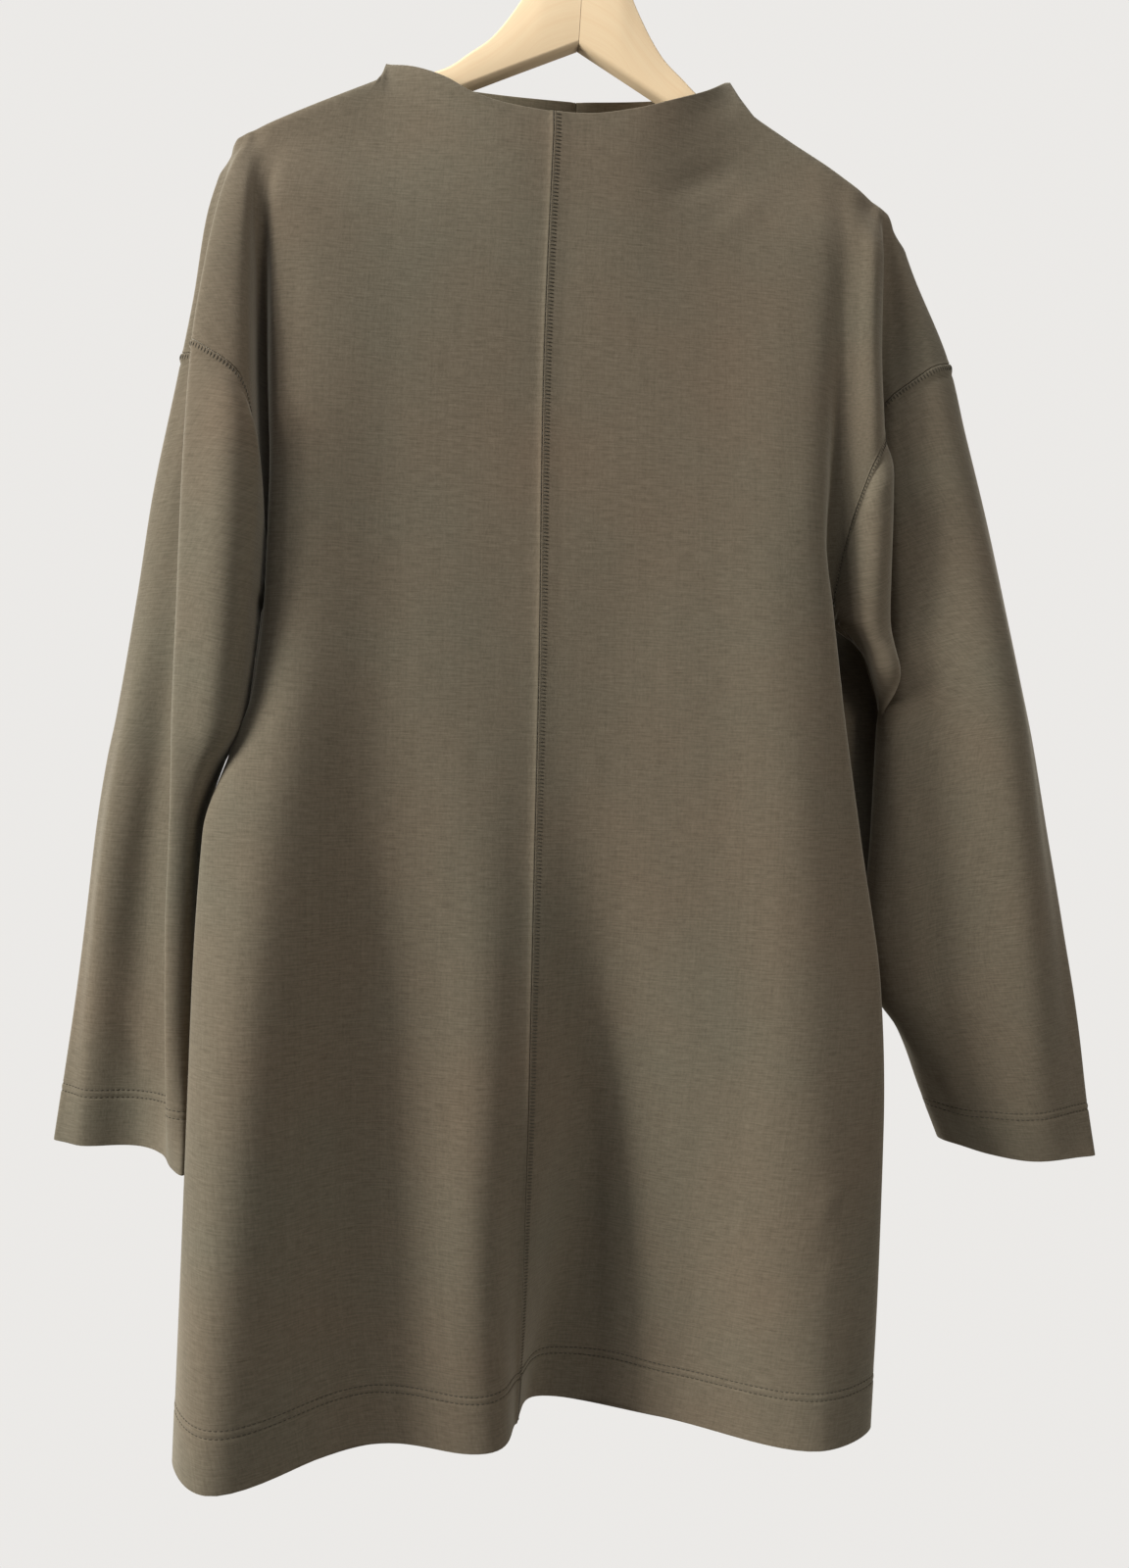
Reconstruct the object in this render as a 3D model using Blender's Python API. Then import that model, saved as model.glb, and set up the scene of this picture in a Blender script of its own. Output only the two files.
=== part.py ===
"""A long-sleeved knit dress with a funnel neck and dropped shoulders, hanging on a wooden hanger.

The cloth is lofted. Every section of the dress at one height is a smooth curve through its fold lines,
and each fold line is a column of a short table, so a fold runs down the garment as it does in the cloth.
A column of the cloth is numbered by the place u across it: 0 at the centre seam, 2 at the neck tip,
6 at the side seam, and 12 at the outer edge of the sleeve. Sizes are in millimetres, and MM turns them
into Blender's metres. The origin is the inside top of the hook, X is to the viewer's right, Z is up,
and the front faces -Y.
"""

from math import cos, pi, radians, sin, tan

import bpy
import numpy as np

MM = 0.001

# Cloth
WALL = 1.6
SEAM_GAP = 0.3
CORNER_GAP = 1.5
SHOULDER_SHIFT = 16
NECK_ROLL, SHOULDER_ROLL = 30, 8
NECK_POWER, SHOULDER_POWER = 1.5, 4
ROLL_EASE = 0.4
HEM_Z = -1052
CUFF_Z = -870
UNDERARM_Z = -497
UNDERARM_BLEND = 40
ARMHOLE_RISE = {1: 187, -1: 161}
SLEEVE_LEVEL_Z = -540

# Hanger
WOOD_THICK = 12
WOOD_ROUNDING = 3.5
WOOD_TILT = radians(1.45)
WOOD_JOINT = (0, -135)
WOOD_END_DEPTH = 7
SEAT_GAP = 0.4
WIRE_RADIUS = 1.75
HOOK_RADIUS = 20
HOOK_START, HOOK_END = -48, 205
STEM_RISES = (0, 5, 10)
STEM_LEAVE, ARC_ARRIVE = 20, 14

# Places across a half of the dress, and where the back's fold lines lie on the same scale
NECK_TIP, SIDE = 2, 6
BACK_BODY_PLACES = (0, 2, 3, 4, 5, 6)
BACK_SLEEVE_PLACES = (6, 7.5, 9, 10.5, 12)

# Columns and rows of the loft
BODY_COLUMNS = (0, 0.5, 1, 1.33, 1.67, 2, 2.2, 2.55, 3, 3.33, 3.67, 4, 4.5, 5, 5.5, 6)
SLEEVE_COLUMNS = (6, 6.25, 6.5, 6.75, 7, 7.25, 7.5, 8, 8.5, 9, 9.5, 10, 10.5, 11, 11.5, 12)
ROLL_ROWS = (0, 0.6, 3, 12)
UPPER_ROWS = (0.1, 0.22, 0.37, 0.55, 0.74, 0.9, 1)
LOWER_ROWS = (0.04, 0.1, 0.18, 0.27, 0.36, 0.46, 0.56, 0.67, 0.78, 0.89, 1)
SLEEVE_HEAD_ROWS = (0, 0.06, 0.16, 0.3, 0.46, 0.64, 0.82)
SLEEVE_ARM_ROWS = 10

ARMHOLE_ROW = len(ROLL_ROWS) + len(UPPER_ROWS) - 1
SIDE_COLUMN = len(BODY_COLUMNS) - 1
UNDERARM = (ARMHOLE_ROW, SIDE_COLUMN)

# Each table row is a height z, then x and y of each fold line at that height. The left half's x is
# counted outwards from the middle too, and mirrored when it is read.
CENTRE_FRONT = (
    (-150, (-15, -28)),
    (-320, (-17, -33)),
    (-550, (-13, -40)),
    (-800, (-10, -40)),
    (-900, (-9, -32)),
    (-1000, (-8, -18)),
    (-1052, (-8, -9)),
)
CENTRE_BACK = (
    (-142, (3, 28)),
    (-400, (2, 36)),
    (-1052, (0, 45)),
)

BODY_FRONT_FOLDS = ("inner", "mid", "crest", "edge", "tuck", "side")
BODY_FRONT = {
    1: (
        (-150, (45, -27), (104, -12), (150, -11), (166, -11), (178, -11), (188, -11)),
        (-200, (38, -29), (104, -18), (150, -16), (166, -16), (178, -15), (188, -14)),
        (-250, (38, -31), (100, -27), (150, -26), (168, -25), (182, -22), (192, -23)),
        (-310, (38, -33), (95, -32), (146, -31), (167, -29), (181, -23), (191, -25)),
        (-370, (38, -35), (95, -35), (144, -35), (168, -31), (180, -20), (190, -24)),
        (-430, (38, -37), (95, -38), (143, -38), (168, -33), (179, -15), (188, -18)),
        (-497, (38, -38), (95, -41), (146, -41), (179, -32), (184, -8), (189, -6)),
        (-560, (38, -39), (98, -43), (155, -44), (190, -33), (185, -12), (189, 1)),
        (-640, (38, -38), (100, -43), (168, -46), (206, -34), (201, -14), (203, 2)),
        (-740, (37, -30), (102, -40), (180, -48), (226, -34), (222, -16), (221, 2)),
        (-840, (34, -15), (100, -32), (186, -50), (234, -32), (233, -14), (231, 4)),
        (-950, (23, 6), (98, -20), (190, -50), (236, -30), (236, -12), (233, 6)),
        (-1052, (6, 23), (95, -6), (194, -49), (237, -26), (239, -10), (236, 7)),
    ),
    -1: (
        (-150, (62, -27), (125, -12), (150, -11), (170, -11), (184, -11), (194, -11)),
        (-200, (50, -29), (122, -18), (160, -16), (178, -15), (190, -14), (198, -13)),
        (-250, (45, -31), (115, -28), (172, -28), (190, -26), (197, -22), (203, -23)),
        (-300, (45, -33), (110, -33), (173, -33), (189, -28), (196, -15), (201, -20)),
        (-345, (45, -35), (105, -36), (171, -36), (188, -29), (195, -9), (200, -18)),
        (-430, (45, -38), (105, -39), (168, -40), (185, -32), (190, -5), (195, -14)),
        (-497, (45, -40), (105, -42), (166, -43), (185, -33), (188, -8), (191, -6)),
        (-560, (45, -42), (105, -44), (170, -47), (190, -34), (188, -12), (190, 3)),
        (-600, (45, -43), (106, -44), (175, -50), (203, -36), (201, -14), (201, 4)),
        (-650, (45, -44), (107, -44), (184, -54), (219, -39), (217, -16), (216, 5)),
        (-740, (44, -46), (108, -41), (191, -62), (222, -42), (220, -18), (219, 6)),
        (-860, (40, -46), (109, -37), (197, -68), (223, -46), (221, -20), (220, 6)),
        (-1052, (22, -39), (104, -30), (201, -77), (227, -45), (225, -20), (222, 8)),
    ),
}

BODY_BACK_FOLDS = ("mid", "crest", "edge", "wing", "pit")
BODY_BACK = {
    1: (
        (-150, (104, 14), (150, 11), (170, 11), (182, 11), (192, 11)),
        (-200, (102, 20), (150, 17), (170, 16), (182, 15), (192, 14)),
        (-250, (95, 29), (150, 28), (172, 27), (185, 26), (196, 25)),
        (-360, (75, 35), (150, 34), (176, 33), (190, 31), (204, 29)),
        (-430, (75, 37), (150, 37), (182, 35), (198, 30), (206, 25)),
        (-470, (75, 38), (158, 38), (208, 32), (206, 18), (194, 4)),
        (-497, (75, 39), (165, 39), (216, 31), (206, 15), (189, -6)),
        (-560, (75, 40), (188, 40), (244, 32), (220, 15), (189, 1)),
        (-620, (75, 41), (192, 43), (248, 34), (226, 17), (203, 2)),
        (-720, (75, 42), (192, 44), (247, 33), (231, 17), (214, 2)),
        (-840, (75, 43), (195, 44), (238, 31), (238, 16), (231, 4)),
        (-1052, (75, 45), (195, 45), (238, 31), (242, 18), (236, 7)),
    ),
    -1: (
        (-150, (125, 14), (150, 11), (172, 11), (186, 11), (196, 11)),
        (-200, (120, 20), (155, 17), (176, 16), (190, 15), (200, 14)),
        (-250, (110, 29), (155, 29), (178, 28), (194, 27), (204, 25)),
        (-345, (75, 35), (155, 35), (182, 34), (200, 34), (211, 33)),
        (-430, (75, 37), (155, 38), (184, 37), (200, 36), (210, 34)),
        (-470, (75, 38), (160, 39), (192, 33), (200, 20), (198, 6)),
        (-497, (75, 39), (165, 39), (196, 32), (200, 15), (191, -6)),
        (-560, (75, 41), (170, 41), (211, 33), (202, 16), (190, 3)),
        (-650, (75, 42), (178, 43), (223, 35), (221, 18), (206, 4)),
        (-740, (75, 43), (182, 45), (225, 36), (224, 18), (214, 5)),
        (-1052, (75, 46), (187, 48), (216, 38), (224, 18), (222, 8)),
    ),
}

SLEEVE_FRONT_FOLDS = ("lobe", "lip", "groove", "rise", "outer", "ridge")
SLEEVE_FRONT = {
    1: (
        (-213, (200, -11), (206, -11), (211, -10.5), (215, -9.5), (219, -6), (222, 0)),
        (-250, (202, -25), (209, -20), (213, -10), (218, -8), (227, -8), (238, 1)),
        (-310, (203, -28), (211, -20), (216, -5), (225, -6), (250, -11), (268, 2)),
        (-360, (206, -30), (215, -21), (219, -2), (229, -9), (263, -13), (284, 4)),
        (-430, (208, -30), (221, -19), (224, 1), (234, -11), (281, -14), (306, 5)),
        (-497, (210, -28), (227, -17), (229, 2), (238, -13), (297, -16), (325, 6)),
        (-530, (227, -20), (232, -12), (232, 1), (241, -14), (305, -17), (334, 6)),
        (-570, (231, 5), (230, -1), (232, -7), (246, -15), (315, -16), (345, 6)),
        (-640, (232, 9), (230, 1), (234, -7), (252, -14), (328, -14), (361, 6)),
        (-700, (231, 11), (229, 3), (233, -5), (252, -12), (342, -12), (375, 6)),
        (-755, (243, 15), (241, 8), (244, 0), (262, -9), (352, -10), (387, 5)),
        (-780, (262, 20), (260, 12), (262, 4), (278, -5), (357, -9), (392, 5)),
        (-830, (287, 32), (287, 25), (292, 17), (307, 4), (368, -5), (401, 5)),
        (-870, (309, 45), (310, 37), (318, 27), (334, 11), (378, 0), (409, 4)),
    ),
    -1: (
        (-205, (204, -11), (209, -11), (213, -10), (216, -9), (219, -6), (222, 0)),
        (-222, (209, -19), (216, -18), (220, -12), (222, -8), (225, -4), (229, 2)),
        (-250, (208, -30), (224, -25), (226, -14), (228, -6), (233, 0), (238, 6)),
        (-300, (207, -38), (231, -34), (229, -16), (234, -3), (240, 4), (246, 12)),
        (-345, (205, -44), (236, -38), (231, -16), (238, 0), (246, 8), (255, 17)),
        (-430, (202, -49), (239, -40), (233, -15), (243, 2), (257, 10), (272, 24)),
        (-497, (205, -52), (240, -41), (234, -15), (246, 2), (262, 12), (281, 26)),
        (-580, (208, -48), (241, -41), (236, -14), (252, 4), (274, 13), (293, 27)),
        (-606, (222, -42), (241, -40), (236, -13), (254, 4), (278, 13), (298, 28)),
        (-650, (230, -36), (242, -36), (238, -12), (258, 5), (285, 14), (304, 29)),
        (-711, (232, -31), (244, -31), (241, -8), (262, 8), (292, 16), (310, 30)),
        (-780, (232, -28), (243, -28), (243, -4), (264, 10), (296, 18), (317, 31)),
        (-830, (230, -30), (241, -26), (246, 0), (266, 14), (299, 21), (323, 31)),
        (-870, (229, -36), (238, -23), (250, 3), (268, 19), (300, 24), (328, 31)),
    ),
}

SLEEVE_SEAM = {
    1: (
        (-497, (189, -6)),
        (-503, (202, -6)),
        (-512, (212, -6)),
        (-530, (221, -5)),
        (-570, (236, 10)),
        (-700, (239, 16)),
        (-755, (251, 20)),
        (-780, (269, 26)),
        (-830, (293, 37)),
        (-870, (315, 50)),
    ),
    -1: (
        (-497, (191, -6)),
        (-502, (195, -6)),
        (-530, (198, -6)),
        (-580, (204, -6)),
        (-606, (216, -5)),
        (-650, (228, -3)),
        (-711, (231, 2)),
        (-780, (232, 4)),
        (-830, (231, 0)),
        (-870, (230, -12)),
    ),
}

SLEEVE_BACK_FOLDS = ("inner", "mid", "outer")
SLEEVE_BACK = {
    1: (
        (-150, (200, 10), (208, 8), (216, 6)),
        (-213, (202, 14), (213, 9), (219, 6)),
        (-250, (206, 22), (217, 16), (228, 9)),
        (-310, (216, 24), (236, 21), (256, 13)),
        (-430, (225, 24), (258, 25), (292, 17)),
        (-497, (218, 10), (262, 26), (308, 19)),
        (-530, (232, 12), (272, 26), (317, 19)),
        (-570, (244, 18), (284, 26), (326, 19)),
        (-640, (250, 22), (292, 25), (340, 18)),
        (-700, (250, 24), (300, 25), (352, 17)),
        (-780, (279, 31), (320, 25), (370, 15)),
        (-870, (332, 48), (356, 31), (392, 13)),
    ),
    -1: (
        (-150, (206, 10), (212, 9), (218, 6)),
        (-205, (208, 13), (213, 10), (218, 5)),
        (-250, (214, 22), (222, 18), (230, 12)),
        (-300, (218, 28), (230, 26), (240, 20)),
        (-345, (222, 31), (236, 31), (248, 26)),
        (-430, (220, 34), (244, 36), (263, 34)),
        (-497, (212, 16), (240, 34), (268, 38)),
        (-560, (214, 18), (246, 34), (278, 39)),
        (-650, (240, 20), (263, 34), (292, 41)),
        (-711, (242, 22), (268, 35), (298, 42)),
        (-780, (243, 23), (270, 36), (304, 43)),
        (-870, (240, 9), (264, 32), (312, 43)),
    ),
}

# The neck's edge: the place across, then x, y and z
NECK_FRONT = {
    1: (
        (0, (-16, -28, -179)),
        (0.5, (6, -28, -178)),
        (1, (38, -27, -171)),
        (1.33, (61, -24, -162)),
        (1.67, (86, -15, -149)),
        (2, (104, 0, -134)),
    ),
    -1: (
        (0, (16, -28, -179)),
        (0.5, (45, -27, -176)),
        (1, (68, -25, -170)),
        (1.33, (87, -20, -159)),
        (1.67, (108, -11, -150)),
        (2, (125, 0, -145)),
    ),
}
NECK_BACK = {
    1: (
        (0, (3, 28, -142)),
        (1, (60, 24, -138)),
        (1.67, (92, 13, -135)),
        (2, (104, 0, -134)),
    ),
    -1: (
        (0, (-3, 28, -142)),
        (1, (65, 23, -144)),
        (1.67, (108, 12, -145)),
        (2, (125, 0, -145)),
    ),
}

# The shoulder seam: the place across, then x and how far the cloth stands off the wood
SHOULDER = {
    1: (
        (2, (104, 21)),
        (2.2, (110, 12)),
        (2.55, (118, 3)),
        (3, (150, 0)),
        (4, (170, 0)),
        (5, (182, 0)),
        (6, (192, 0)),
        (7, (203, 0)),
        (8, (208, 0)),
        (9, (212, 0)),
        (10, (215.5, 0)),
        (11, (219, -1.5)),
        (12, (222, -4)),
    ),
    -1: (
        (2, (125, 14)),
        (2.2, (127, 6)),
        (2.55, (130, 1)),
        (3, (150, 0)),
        (4, (174, 0)),
        (5, (188, 0)),
        (6, (198, 0)),
        (7, (206, 0)),
        (8, (211, 0)),
        (9, (214, 0)),
        (10, (217, 0)),
        (11, (220, -2)),
        (12, (222, -4)),
    ),
}

# The armhole seam: the place across, then how far it has risen, as a share of its whole rise
ARMHOLE = {
    1: (
        (6, (0,)),
        (6.25, (0.25,)),
        (6.5, (0.41,)),
        (7, (0.58,)),
        (8, (0.69,)),
        (9, (0.79,)),
        (10, (0.86,)),
        (11, (0.96,)),
        (12, (1,)),
    ),
    -1: (
        (6, (0,)),
        (6.25, (0.28,)),
        (6.5, (0.52,)),
        (7, (0.8,)),
        (7.5, (0.9,)),
        (8, (0.955,)),
        (9, (0.97,)),
        (10, (0.98,)),
        (12, (1,)),
    ),
}

# One arm of the hanger before it tilts: x, then z of its upper edge and of its lower edge
WOOD_TOP = (
    (0, (-60,)),
    (12, (-62,)),
    (25, (-70,)),
    (37.5, (-93.5,)),
    (49, (-112.5,)),
    (58.5, (-124.5,)),
    (70.5, (-134.5,)),
    (85, (-146,)),
    (112, (-157.5,)),
    (140, (-170,)),
    (206, (-205,)),
    (222, (-213.5,)),
)
WOOD_BOTTOM = (
    (0, (-122,)),
    (60, (-152,)),
    (205, (-227,)),
)
WOOD_END_X = 205


def bend(start, leave, end, arrive, t):
    """The cubic curve that leaves start along leave and reaches end along arrive, for t from 0 to 1."""
    back = 1 - t
    return (1 + 2 * t) * back**2 * start + t * back**2 * leave + t**2 * ((3 - 2 * t) * end - back * arrive)


def read_table(rows, place):
    """The table's columns at each place: a smooth curve through the rows that never overshoots them."""
    rows = sorted(rows)
    places = np.array([row[0] for row in rows], float)
    columns = np.array([row[1:] for row in rows], float)
    step = np.diff(places)
    slope = np.diff(columns, axis=0) / step[:, None, None]
    turn = slope[1:] * slope[:-1]
    slopes = np.concatenate([slope[:1], np.zeros_like(turn), slope[-1:]])
    slopes[1:-1][turn > 0] = 2 * turn[turn > 0] / (slope[1:] + slope[:-1])[turn > 0]
    place = np.clip(place, places[0], places[-1])
    i = np.clip(np.searchsorted(places, place, side="right") - 1, 0, len(step) - 1)
    run = step[i][..., None, None]
    t = (place - places[i])[..., None, None] / run
    return bend(columns[i], slopes[i] * run, columns[i + 1], slopes[i + 1] * run, t)


def pass_through(knots, t):
    """A point of the centripetal curve through the knots, where t = 0 is the second knot.

    The first and the last knot only steer the curve. Its direction at a knot is the mean of those of
    its two chords, each weighted by the root of the other's length, so tight folds don't overshoot.
    """
    chord = np.diff(knots, axis=-2)
    span = np.maximum(np.linalg.norm(chord, axis=-1, keepdims=True), 0.01) ** 0.5
    before, after = chord[..., :-1, :], chord[..., 1:, :]
    span_before, span_after = span[..., :-1, :], span[..., 1:, :]
    both = (before + after) / (span_before + span_after)
    direction = before / span_before + after / span_after - both
    i = np.clip(np.floor(t).astype(int), 0, knots.shape[-2] - 4)

    def at(values, index):
        return np.take_along_axis(values, index[..., None, None], axis=-2)[..., 0, :]

    run = at(span, i + 1)
    leave, arrive = at(direction, i) * run, at(direction, i + 1) * run
    return bend(at(knots, i + 1), leave, at(knots, i + 2), arrive, (t - i)[..., None])


def fold_lines(half, z):
    """Every fold line of one half at heights z, by name, each with x and y in its last axis."""
    mirror = np.array([half, 1])
    lines = {}
    for piece, folds, table in (
        ("body_front", BODY_FRONT_FOLDS, BODY_FRONT),
        ("body_back", BODY_BACK_FOLDS, BODY_BACK),
        ("sleeve_front", SLEEVE_FRONT_FOLDS, SLEEVE_FRONT),
        ("sleeve_back", SLEEVE_BACK_FOLDS, SLEEVE_BACK),
    ):
        columns = read_table(table[half], z) * mirror
        lines.update({f"{piece}_{fold}": columns[..., k, :] for k, fold in enumerate(folds)})
        other = read_table(table[-half], z) * -mirror * (1, -1)
        lines[f"other_{piece}"] = other[..., 0, :]
    lines["sleeve_seam"] = read_table(SLEEVE_SEAM[half], z)[..., 0, :] * mirror
    lines["centre_front"] = read_table(CENTRE_FRONT, z)[..., 0, :]
    lines["centre_back"] = read_table(CENTRE_BACK, z)[..., 0, :]
    return lines


def section(half, face, part, place, z):
    """x and y of the cloth's mid-surface at places across one half, at heights z."""
    lines = fold_lines(half, z)
    below = np.clip((UNDERARM_Z - z) / UNDERARM_BLEND, 0, 1)[..., None]
    under = (z < UNDERARM_Z)[..., None]

    def steer(above_name, below_name):
        return lines[above_name] * (1 - below) + lines[below_name] * below

    def split(above_name, below_name):
        return np.where(under, lines[below_name], lines[above_name])

    if (face, part) == ("front", "body"):
        knots = [lines["other_body_front"], lines["centre_front"]]
        knots += [lines[f"body_front_{fold}"] for fold in BODY_FRONT_FOLDS]
        knots += [steer("sleeve_front_lobe", "body_back_wing")]
        t = place
    elif (face, part) == ("front", "sleeve"):
        knots = [steer("body_front_tuck", "sleeve_back_inner"), split("body_front_side", "sleeve_seam")]
        knots += [lines[f"sleeve_front_{fold}"] for fold in SLEEVE_FRONT_FOLDS]
        knots += [lines["sleeve_back_outer"]]
        t = place - SIDE
    elif (face, part) == ("back", "body"):
        knots = [lines["other_body_back"], lines["centre_back"]]
        knots += [lines[f"body_back_{fold}"] for fold in BODY_BACK_FOLDS[:-1]]
        knots += [split("body_back_pit", "body_front_side")]
        knots += [steer("sleeve_back_inner", "body_front_tuck")]
        t = np.interp(place, BACK_BODY_PLACES, range(len(BACK_BODY_PLACES)))
    else:
        knots = [steer("body_back_wing", "sleeve_front_lobe"), split("body_back_pit", "sleeve_seam")]
        knots += [lines[f"sleeve_back_{fold}"] for fold in SLEEVE_BACK_FOLDS]
        knots += [lines["sleeve_front_ridge"], lines["sleeve_front_outer"]]
        t = np.interp(place, BACK_SLEEVE_PLACES, range(len(BACK_SLEEVE_PLACES)))
    return pass_through(np.stack(knots, axis=-2), t)


def tilted(x, z):
    """A point of the hanger turned with it about its joint, clockwise as the viewer sees it."""
    across, up = x - WOOD_JOINT[0], z - WOOD_JOINT[1]
    turned_x = WOOD_JOINT[0] + across * cos(WOOD_TILT) + up * sin(WOOD_TILT)
    turned_z = WOOD_JOINT[1] + up * cos(WOOD_TILT) - across * sin(WOOD_TILT)
    return turned_x, turned_z


def wood_top(x):
    """Height of the tilted hanger's upper edge at x, either side of the middle."""
    above_joint = read_table(WOOD_TOP, np.abs(x))[..., 0, 0] - WOOD_JOINT[1]
    upright = x - above_joint * sin(WOOD_TILT)
    return tilted(upright, read_table(WOOD_TOP, np.abs(upright))[..., 0, 0])[1]


def top_line(half, face, place):
    """x, y and z of the cloth's upper end: the neck's edge, then the shoulder seam on the hanger."""
    neck = read_table((NECK_FRONT if face == "front" else NECK_BACK)[half], place)[..., 0, :]
    shoulder = read_table(SHOULDER[half], place)[..., 0, :]
    x = half * np.where(place < NECK_TIP, neck[..., 0], shoulder[..., 0])
    y = np.where(place < NECK_TIP, neck[..., 1], 0)
    seat = wood_top(x) + SEAT_GAP + WALL / 2
    z = np.where(place < NECK_TIP, neck[..., 2], seat + shoulder[..., 1])
    return np.stack([x, y, z], axis=-1)


def roll(place, drop):
    """How far the cloth has turned from its top line to its hanging place, from 0 to 1.

    It is a superellipse's quarter: short and square over the wooden arm, long and soft at the neck.
    """
    ease = np.clip((place - NECK_TIP) / ROLL_EASE, 0, 1)
    depth = NECK_ROLL + (SHOULDER_ROLL - NECK_ROLL) * ease
    power = NECK_POWER + (SHOULDER_POWER - NECK_POWER) * ease
    return (1 - (1 - np.clip(drop / depth, 0, 1)) ** power) ** (1 / power)


def armhole(half, place):
    """Height of the armhole seam, which rises from the underarm to the outer edge of the arm."""
    return UNDERARM_Z + ARMHOLE_RISE[half] * read_table(ARMHOLE[half], place)[..., 0, 0]


def cloth(half, face, part, place, z):
    """Points of the mid-surface at places across and heights z, from the top line to the hems.

    The cloth turns outwards over the wood at once, and only then moves sideways to its fold line.
    """
    top = top_line(half, face, place)
    drop = top[..., 2] - z
    hanging = section(half, face, part, place, z)
    turned = roll(place, drop)
    moved = np.clip(drop / SHOULDER_SHIFT, 0, 1)
    moved = moved**2 * (3 - 2 * moved)
    x = top[..., 0] + (hanging[..., 0] - top[..., 0]) * moved
    y = top[..., 1] + (hanging[..., 1] - top[..., 1]) * turned
    return np.stack([x, y, z], axis=-1)


def upper_heights(half, face, place):
    """Heights of the rows from the top line down to the underarm, or to the armhole seam."""
    top = top_line(half, face, place)[..., 2]
    run = top - armhole(half, place) - ROLL_ROWS[-1]
    drops = [np.full_like(place, drop) for drop in ROLL_ROWS]
    drops += [ROLL_ROWS[-1] + run * share for share in UPPER_ROWS]
    return top - np.stack(drops)


def body_panel(half, face):
    """Grid of a front or a back from neck to hem, with its part of the dropped shoulder.

    Rows below the underarm end at the side seam, and what lies past it is marked as no point.
    """
    places = np.array(BODY_COLUMNS + SLEEVE_COLUMNS[1:])
    heights = upper_heights(half, face, places)
    lower = UNDERARM_Z + (HEM_Z - UNDERARM_Z) * np.array(LOWER_ROWS)
    heights = np.concatenate([heights, np.repeat(lower[:, None], len(places), axis=1)])
    place = np.broadcast_to(places, heights.shape)
    body = cloth(half, face, "body", np.minimum(place, SIDE), heights)
    sleeve = cloth(half, face, "sleeve", np.maximum(place, SIDE), heights)
    grid = np.where((place > SIDE)[..., None], sleeve, body)
    grid[ARMHOLE_ROW + 1 :, places > SIDE] = np.nan
    return grid


def sleeve_panel(half, face):
    """Grid of one face of a sleeve: rows that level out below the armhole seam, then level rows."""
    places = np.array(SLEEVE_COLUMNS, float)
    start = armhole(half, places)
    head = start + (SLEEVE_LEVEL_Z - start) * np.array(SLEEVE_HEAD_ROWS)[:, None]
    arm = np.linspace(SLEEVE_LEVEL_Z, CUFF_Z, SLEEVE_ARM_ROWS)
    heights = np.concatenate([head, np.repeat(arm[:, None], len(places), axis=1)])
    place = np.broadcast_to(places, heights.shape)
    return cloth(half, face, "sleeve", place, heights)


def seam_pull(kind, grid, normals):
    """How far each point draws back from the seams, so that the pieces don't touch.

    Along each seam the way back lies in the cloth, square to the seam: the surface's normal crossed
    with the seam's own direction, turned to the side of the next line of points. The corner at the
    underarm, where four pieces meet, draws back slantwise.
    """
    pull = np.zeros_like(grid)

    def draw_back(edge, inner):
        back = np.cross(normals[edge], np.gradient(grid[edge], axis=0))
        back /= np.linalg.norm(back, axis=-1, keepdims=True)
        inward = np.sign(np.sum(back * (grid[inner] - grid[edge]), axis=-1, keepdims=True))
        pull[edge] += back * inward * SEAM_GAP / 2

    draw_back(np.s_[:, 0], np.s_[:, 1])
    if kind == "sleeve":
        draw_back(np.s_[:, -1], np.s_[:, -2])
        draw_back(np.s_[0], np.s_[1])
    else:
        above, below = slice(0, ARMHOLE_ROW + 1), slice(ARMHOLE_ROW, None)
        shoulder, past_side = slice(BODY_COLUMNS.index(NECK_TIP), None), slice(SIDE_COLUMN, None)
        draw_back((above, -1), (above, -2))
        draw_back((below, SIDE_COLUMN), (below, SIDE_COLUMN - 1))
        draw_back((0, shoulder), (1, shoulder))
        draw_back((ARMHOLE_ROW, past_side), (ARMHOLE_ROW - 1, past_side))
    corner, inner = (0, 0), (1, 1)
    if kind == "body":
        corner, inner = UNDERARM, (ARMHOLE_ROW - 1, SIDE_COLUMN - 1)
    way = grid[inner] - grid[corner]
    pull[corner] = way / np.linalg.norm(way) * CORNER_GAP
    return pull


def faces_of(grid, flip):
    """Quads between the grid's points, numbered row by row, with no quad where a point is missing."""
    number = np.arange(grid[..., 0].size).reshape(grid.shape[:2])
    quads = np.stack([number[:-1, :-1], number[1:, :-1], number[1:, 1:], number[:-1, 1:]], axis=-1)
    quads = quads.reshape(-1, 4)
    whole = np.isfinite(grid.reshape(-1, 3)[quads, 0]).all(axis=1)
    return quads[whole, ::-1] if flip else quads[whole]


def shared_normals(panels):
    """Each panel's point normals: the mean over all the faces that meet there, across the seams too."""
    points = np.concatenate([panel["grid"].reshape(-1, 3) for panel in panels])
    sizes = [panel["grid"][..., 0].size for panel in panels]
    starts = np.cumsum([0] + sizes[:-1])
    quads = np.concatenate([panel["quads"] + start for panel, start in zip(panels, starts)])
    _, joined = np.unique(np.round(np.nan_to_num(points), 3), axis=0, return_inverse=True)
    joined = joined.reshape(-1)
    corners = points[quads]
    face_normals = np.cross(corners[:, 2] - corners[:, 0], corners[:, 3] - corners[:, 1])
    face_normals /= np.linalg.norm(face_normals, axis=1, keepdims=True)
    totals = np.zeros((joined.max() + 1, 3))
    np.add.at(totals, joined[quads], face_normals[:, None, :])
    lengths = np.linalg.norm(totals, axis=1, keepdims=True)
    normals = (totals / np.where(lengths > 0, lengths, 1))[joined]
    return [
        normals[start : start + size].reshape(panel["grid"].shape)
        for panel, start, size in zip(panels, starts, sizes)
    ]


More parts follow.
